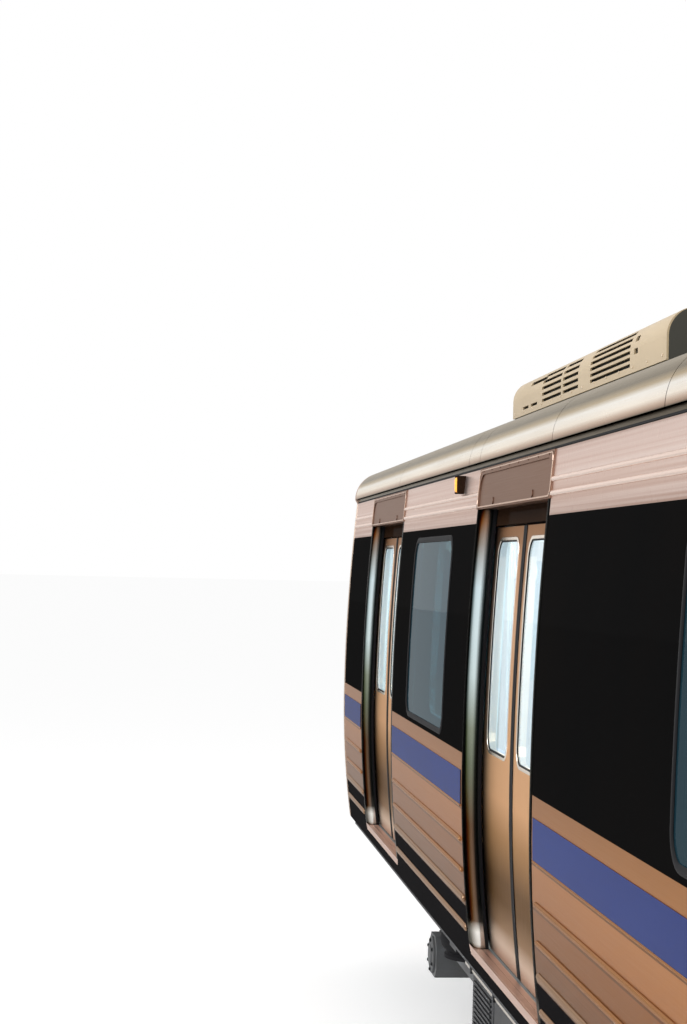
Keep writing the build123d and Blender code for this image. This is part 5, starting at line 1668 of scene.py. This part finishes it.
for end_name, way in ENDS:
    body = f"end_door_{end_name}"
    place = on_plane(way * DOOR_FACE, way)
    door_seal, door_pane, pull, kick = Shape(), Shape(), Shape(), Shape()
    door_screws = Guide()
    seal(door_seal, DOOR_PANE, round_profile(0.0, 0.0, 0.028, 0.010), place)
    pane(door_pane, DOOR_PANE, 0.020, 0.026, place)
    bent_bar(pull, way * DOOR_FACE, PULL_Y, PULL_Z, way, 0.045, 0.020, 0.011)
    cover(kick, KICK_PLATE, 0.003, place, 0.001)
    for z in (KICK_PLATE[1] + 0.020, KICK_PLATE[2] - 0.020):
        door_screws.line([(way * (DOOR_FACE + 0.0028), hand * KICK_SCREW_Y, z) for hand in (-1, 1)],
                         [(way, 0, 0)] * 2)
    piece(f"{body}_seal", door_seal, seal_black, body)
    piece(f"{body}_pane", door_pane, side_glass, body)
    piece(f"{body}_pull", pull, pole_steel, body)
    piece(f"{body}_kick_plate", kick, stainless_bright, body)
    repeat(f"{body}_kick_screws", HEADS, door_screws, stainless, body, Pitch=0.160, Wide=0.010, Deep=0.002)
end_rails = Shape()
rail_screws = Guide()
for _, way in ENDS:
    foot = [(way * reach, radius) for reach, radius in HANDRAIL_FOOT]
    for _, side in SIDES:
        y = side * HANDRAIL_Y
        bent_bar(end_rails, way * BODY_END, y, HANDRAIL_Z, way, 0.055, 0.030, 0.013)
        for z in HANDRAIL_Z:
            turned(end_rails, foot, (way * BODY_END, y, z), X_AXIS, 20)
            bolt_circle(rail_screws, (way * (BODY_END + 0.005), y, z), 0.021, X_AXIS, way, 12)
piece("end_handrails", end_rails, pole_steel)
repeat("end_handrail_screws", HEADS, rail_screws, stainless, Pitch=0.044, Wide=0.007, Deep=0.002)
print("end handrails", len(end_rails.faces))

# %% [markdown]
# ## Couplers
# A machined rim runs round the coupler's face, and three bands stiffen its bar. The rim is a turned
# ring, and each band is a box a little wider than the bar. Both swing with the coupler.

# %% Coupler faces
COUPLER_FACE_X = 10.300
COUPLER_Z = 0.728
RIM_OUTLINE = ((-0.034, 0.168), (-0.008, 0.168), (-0.008, 0.172), (-0.034, 0.172))
BAND_X = (9.80, 9.86, 9.92)
BAND_WIDE = 0.028
BAND_Y = 0.081
BAND_Z = 0.061
for end_name, way in ENDS:
    body = f"coupler_{end_name}"
    rim, bands = Shape(), Shape()
    outline = [(way * reach, radius) for reach, radius in RIM_OUTLINE]
    turned(rim, outline, (way * COUPLER_FACE_X, 0.0, COUPLER_Z), X_AXIS, 48, closed=True)
    for reach in BAND_X:
        xs = sorted((way * reach, way * (reach + BAND_WIDE)))
        box(bands, (xs[0], -BAND_Y, COUPLER_Z - BAND_Z), (xs[1], BAND_Y, COUPLER_Z + BAND_Z))
    piece(f"{body}_rim", rim, coupler_steel, body)
    piece(f"{body}_bands", bands, coupler_steel, body)
print("coupler bands", len(BAND_X))

# %% [markdown]
# ## Seats, poles and rails
# The seats are moulded benches on a recessed plinth, with one dished place after another. The section
# changes smoothly from flat to dished, so a bench is a skin over many sections. Poles are turned with
# their flanges, and rails are pipes.

# %% Benches and rails
SEAT_IN = 0.824
SEAT_OUT = 1.274
SEAT_TOP = FLOOR_Z + 0.430
SEAT_END = 0.160
SEAT_PITCH = 0.460
SEAT_SHARES = (0.0, 0.03, 0.10, 0.25, 0.50, 0.75, 0.90, 0.97, 1.0)
# The bench's outline from the plinth over the pan and up the back, as (measured from the front edge or
# the back, height over the seat, how far the dished place moves it in, and how far down)
BENCH_PAN = ((0.10, -0.12, 0.0), (0.02, -0.085, 0.0), (0.004, -0.065, 0.0), (0.0, -0.045, 0.0),
             (0.004, -0.022, 0.0), (0.030, -0.006, 0.0), (0.12, -0.002, 0.022), (0.25, -0.010, 0.026),
             (0.34, -0.008, 0.020))
BENCH_BACK = ((0.068, 0.020, 0.0), (0.062, 0.10, 0.012), (0.060, 0.25, 0.016), (0.052, 0.375, 0.0),
              (0.040, 0.415, 0.0), (0.022, 0.428, 0.0), (0.006, 0.422, 0.0), (0.0, 0.405, 0.0))
RAIL_Y = 0.700
RAIL_Z = 3.020
RAIL_REACH = 9.000
STRAP_MARGIN = 0.200
POLE_X = 0.915
POLE_Y = 0.800
POLE_OUTLINE = ((FLOOR_Z, 0.034), (FLOOR_Z + 0.006, 0.034), (FLOOR_Z + 0.012, 0.030), (FLOOR_Z + 0.014, 0.017),
                (3.200, 0.017), (3.204, 0.030), (3.210, 0.034), (3.218, 0.034))


def bench_section(dip):
    """The bench's outline as (y, z) points, with its pan dished down and its back dished in."""
    plinth = [(SEAT_IN + BENCH_PAN[0][0], FLOOR_Z)]
    pan_points = [(SEAT_IN + y, SEAT_TOP + z - down * dip) for y, z, down in BENCH_PAN]
    back_points = [(SEAT_OUT - y + deep * dip, SEAT_TOP + z) for y, z, deep in BENCH_BACK]
    return plinth + pan_points + back_points + [(SEAT_OUT, FLOOR_Z)]


benches, hand_rails, poles = Shape(), Shape(), Shape()
straps_from = Guide()
for _, side in SIDES:
    for start, end in BAYS[1:4]:
        low, high = start + SEAT_END, end - SEAT_END
        seats = max(1, round((high - low) / SEAT_PITCH))
        rings = []
        for seat in range(seats):
            for share in SEAT_SHARES[:-1] if seat < seats - 1 else SEAT_SHARES:
                x = low + (high - low) * (seat + share) / seats
                dip = sin(pi * share) ** 0.5 if 0.0 < share < 1.0 else 0.0
                rings.append([(x, side * y, z) for y, z in bench_section(dip)])
        tube(benches, rings)
    pipe(hand_rails, [(way * RAIL_REACH, side * RAIL_Y, RAIL_Z) for way in (-1, 1)], 0.015, 16)
    straps_from.line([(way * (RAIL_REACH - STRAP_MARGIN), side * RAIL_Y, RAIL_Z - 0.014) for way in (-1, 1)],
                     [(0, 0, -1)] * 2)
    for x in [door + way * POLE_X for door in DOORS for way in (-1, 1)]:
        turned(poles, POLE_OUTLINE, (x, side * POLE_Y, 0.0), Z_AXIS, 20)
        pipe(hand_rails, [(x, side * RAIL_Y, RAIL_Z), (x, side * (POLE_Y - 0.010), RAIL_Z)], 0.012, 12)
piece("benches", benches, seat_blue, replaces=("seats", "seat_backs"))
piece("saloon_poles", poles, pole_steel, replaces=("grab_poles",))
piece("saloon_handrails", hand_rails, pole_steel)
print("benches", len(benches.faces))

# %% [markdown]
# ## Hand straps
# Each strap is a band of webbing that ends in a ring, and they hang at even steps from the rails. All
# are alike, so a third tree makes the strap from a flat bar and a round wire swept along a circle.

# %% Hand straps
RING_RADIUS = 0.040
RING_WIRE = 0.005
RING_DROP = 0.036


def strap_shape(tree, given):
    """A band of webbing that ends in a ring."""
    size = add(tree, "ShaderNodeCombineXYZ", {"X": given[WIDE], "Y": given[TALL], "Z": given[DEEP]})
    band = add(tree, "GeometryNodeMeshCube", {"Size": size})
    half = add(tree, MATH, {0: given[DEEP], 1: 0.5}, operation="MULTIPLY")
    middle = add(tree, "ShaderNodeCombineXYZ", {"Z": half})
    hung = add(tree, "GeometryNodeTransform", {"Geometry": band, "Translation": middle})
    ring = add(tree, "GeometryNodeCurvePrimitiveCircle", {"Resolution": 20, "Radius": RING_RADIUS})
    wire = add(tree, "GeometryNodeCurvePrimitiveCircle", {"Resolution": 8, "Radius": RING_WIRE})
    bent = add(tree, "GeometryNodeCurveToMesh", {"Curve": ring, "Profile Curve": wire})
    drop = add(tree, MATH, {0: given[DEEP], 1: RING_DROP}, operation="ADD")
    below = add(tree, "ShaderNodeCombineXYZ", {"Z": drop})
    upright = add(tree, "GeometryNodeTransform", {
        "Geometry": bent, "Translation": below, "Rotation": (pi / 2, 0.0, 0.0)})
    return add(tree, "GeometryNodeJoinGeometry", {0: [hung, upright]})


STRAPS = repeat_tree("hand_straps", (PITCH, WIDE, TALL, DEEP), strap_shape)
repeat("hand_straps", STRAPS, straps_from, lining_white, slot="pole_steel",
       Pitch=0.330, Wide=0.026, Tall=0.004, Deep=0.150)

# %% [markdown]
# ## Roof furniture
# Two drip ribs run the length of the roof above the doors, and screws hold each cooling unit's case down
# along its foot. A rib is a half-round bent to the roof's arc and swept along X.

# %% Drip ribs and unit screws
RIB_SHARE = 0.86
RIB_HALF = 0.009
RIB_PROUD = 0.010
RIB_ROOT = 0.006
RIB_STEPS = 8
ribs = Shape()
for _, side in SIDES:
    rib = []
    for step in range(RIB_STEPS + 1):
        angle = pi * step / RIB_STEPS
        turn = roof_half * RIB_SHARE + RIB_HALF * cos(angle) / ROOF_RADIUS
        y, z = roof_place(turn, RIB_PROUD * sin(angle))
        rib.append((side * y, z))
    sweep_x(ribs, rib + [(side * y, z - RIB_ROOT)], -WALL_END + 0.010, WALL_END - 0.010)
unit_screws = Guide()
for _, way in ENDS:
    for _, side in SIDES:
        line = sorted((way * (UNIT_ENDS[0] + 0.06), way * (UNIT_ENDS[1] - 0.06)))
        unit_screws.line([(x, side * UNIT_HALF, UNIT_LOW + 0.022) for x in line], [(0, side, 0)] * 2)
piece("roof_drip_ribs", ribs, roof_paint)
repeat("unit_screws", HEADS, unit_screws, cream, slot="unit_cream", Pitch=0.220, Wide=0.012, Deep=0.003)

# %% [markdown]
# ## Floor
# The floor is plain and pale, and it keeps the car's shadow. It reaches far out, and a faint lift that
# only the camera sees brings it close to the backdrop's white, so hardly a line shows where it ends.

# %% Floor
FLOOR_LIFT = 0.22
FLOOR_REACH = 400.0
floor_material, tree, place = new_material("floor_pale")
seen_floor = add(tree, "ShaderNodeLightPath", output="Is Camera Ray")
screed = mottle(tree, place, (333, 333, 333))
# White painted screed, matt and hardly uneven, lifted a little where the camera sees it
add(tree, OUTPUT, {"Surface": add(tree, SURFACE, {
    "Base Color": linear("#FFFFFF"), "Specular IOR Level": 0.0, "Emission Color": linear("#FFFFFF"),
    "Emission Strength": add(tree, MATH, {0: seen_floor, 1: FLOOR_LIFT}, operation="MULTIPLY"),
    "Roughness": add(tree, RANGE, {"Value": screed, "To Min": 0.75, "To Max": 0.85}),
})})
ground = Shape()
box(ground, (-FLOOR_REACH, -FLOOR_REACH, -0.02), (FLOOR_REACH, FLOOR_REACH, 0.0))
floor_object = finish_mesh("ground", ground, floor_material)
print("floor reaches", FLOOR_REACH)

# %% [markdown]
# ## Light
# A broad soft lamp hangs on the side that the photograph shows, a weaker one fills the end, a third
# lights the far side, and the world lifts the shadows. The world is white to the camera, to metal and
# to glass, and dimmer as a light, so the pale backdrop puts no more light on the car.

# %% Light
WORLD_LIGHT = 0.75
world = bpy.data.worlds.new("studio")
bpy.context.scene.world = world
world.use_nodes = True
tree = world.node_tree
tree.nodes.clear()
paths = add(tree, "ShaderNodeLightPath").node.outputs
mirrored = add(tree, MATH, {0: paths["Is Glossy Ray"], 1: paths["Is Transmission Ray"]}, operation="MAXIMUM")
seen = add(tree, MATH, {0: paths["Is Camera Ray"], 1: mirrored}, operation="MAXIMUM")
strength = add(tree, RANGE, {"Value": seen, "To Min": WORLD_LIGHT, "To Max": 1.0})
backdrop = add(tree, "ShaderNodeBackground", {"Color": (1, 1, 1, 1), "Strength": strength})
add(tree, "ShaderNodeOutputWorld", {"Surface": backdrop})


def soft_lamp(name, place, aim, size, power):
    """A large area lamp that points at a place."""
    light = bpy.data.lights.new(name, "AREA")
    light.shape = "RECTANGLE"
    light.size, light.size_y = size
    light.energy = power
    lamp_object = bpy.data.objects.new(name, light)
    lamp_object.location = place
    lamp_object.rotation_euler = (Vector(aim) - Vector(place)).to_track_quat("-Z", "Y").to_euler()
    bpy.context.scene.collection.objects.link(lamp_object)
    return lamp_object


soft_lamp("key", (1.0, 9.0, 8.0), (3.0, 1.0, 2.0), (14.0, 5.0), 900.0)
soft_lamp("fill", (-16.0, 3.0, 5.0), (-6.0, 0.0, 2.0), (6.0, 4.0), 250.0)
soft_lamp("far_side", (0.0, -10.0, 8.0), (0.0, -1.0, 2.0), (14.0, 5.0), 500.0)
print("lamps", len(bpy.data.lights))

# %% [markdown]
# ## Camera
# The camera stands just beside the car, a little below the roof, and looks along it, so the side shrinks
# fast towards the vanishing point. Its turn is worked out from that point and from the slope of lines
# that run across the car, and its focal length is in pixels of the photograph.

# %% Camera
PHOTO_WIDTH = 687
PHOTO_HEIGHT = 1024
FOCAL_PIXELS = 2055.0
VANISHING = Vector((146.2, 562.8))
ROLL_SLOPE = 0.0218
CAMERA_PLACE = (-4.850, 2.930, 2.823)
SENSOR = 36.0
centre = Vector((PHOTO_WIDTH / 2, PHOTO_HEIGHT / 2))
offset = VANISHING - centre
along = Vector((offset.x, offset.y, FOCAL_PIXELS)).normalized()
reach = -(FOCAL_PIXELS ** 2 + offset.length_squared) / (offset.x + offset.y * ROLL_SLOPE)
second = offset + reach * Vector((1.0, ROLL_SLOPE))
across = Vector((second.x, second.y, FOCAL_PIXELS)).normalized()
across = across if across.x > 0 else -across
down = along.cross(across)
down = down if down.y > 0 else -down
right = Vector((along.x, -across.x, -down.x))
up = Vector((-along.y, across.y, down.y))
back = Vector((-along.z, across.z, down.z))
facing = Matrix((right, up, back)).transposed()
eye = bpy.data.cameras.new("photo_camera")
eye.sensor_width = SENSOR
eye.lens = FOCAL_PIXELS / PHOTO_HEIGHT * SENSOR
eye.clip_end = 2000.0
camera = bpy.data.objects.new("photo_camera", eye)
camera.matrix_world = Matrix.Translation(CAMERA_PLACE) @ facing.to_4x4()
bpy.context.scene.collection.objects.link(camera)
bpy.context.scene.camera = camera
bpy.context.scene.view_settings.view_transform = "Standard"
print("camera", tuple(round(value, 3) for value in CAMERA_PLACE), "lens", round(eye.lens, 2))
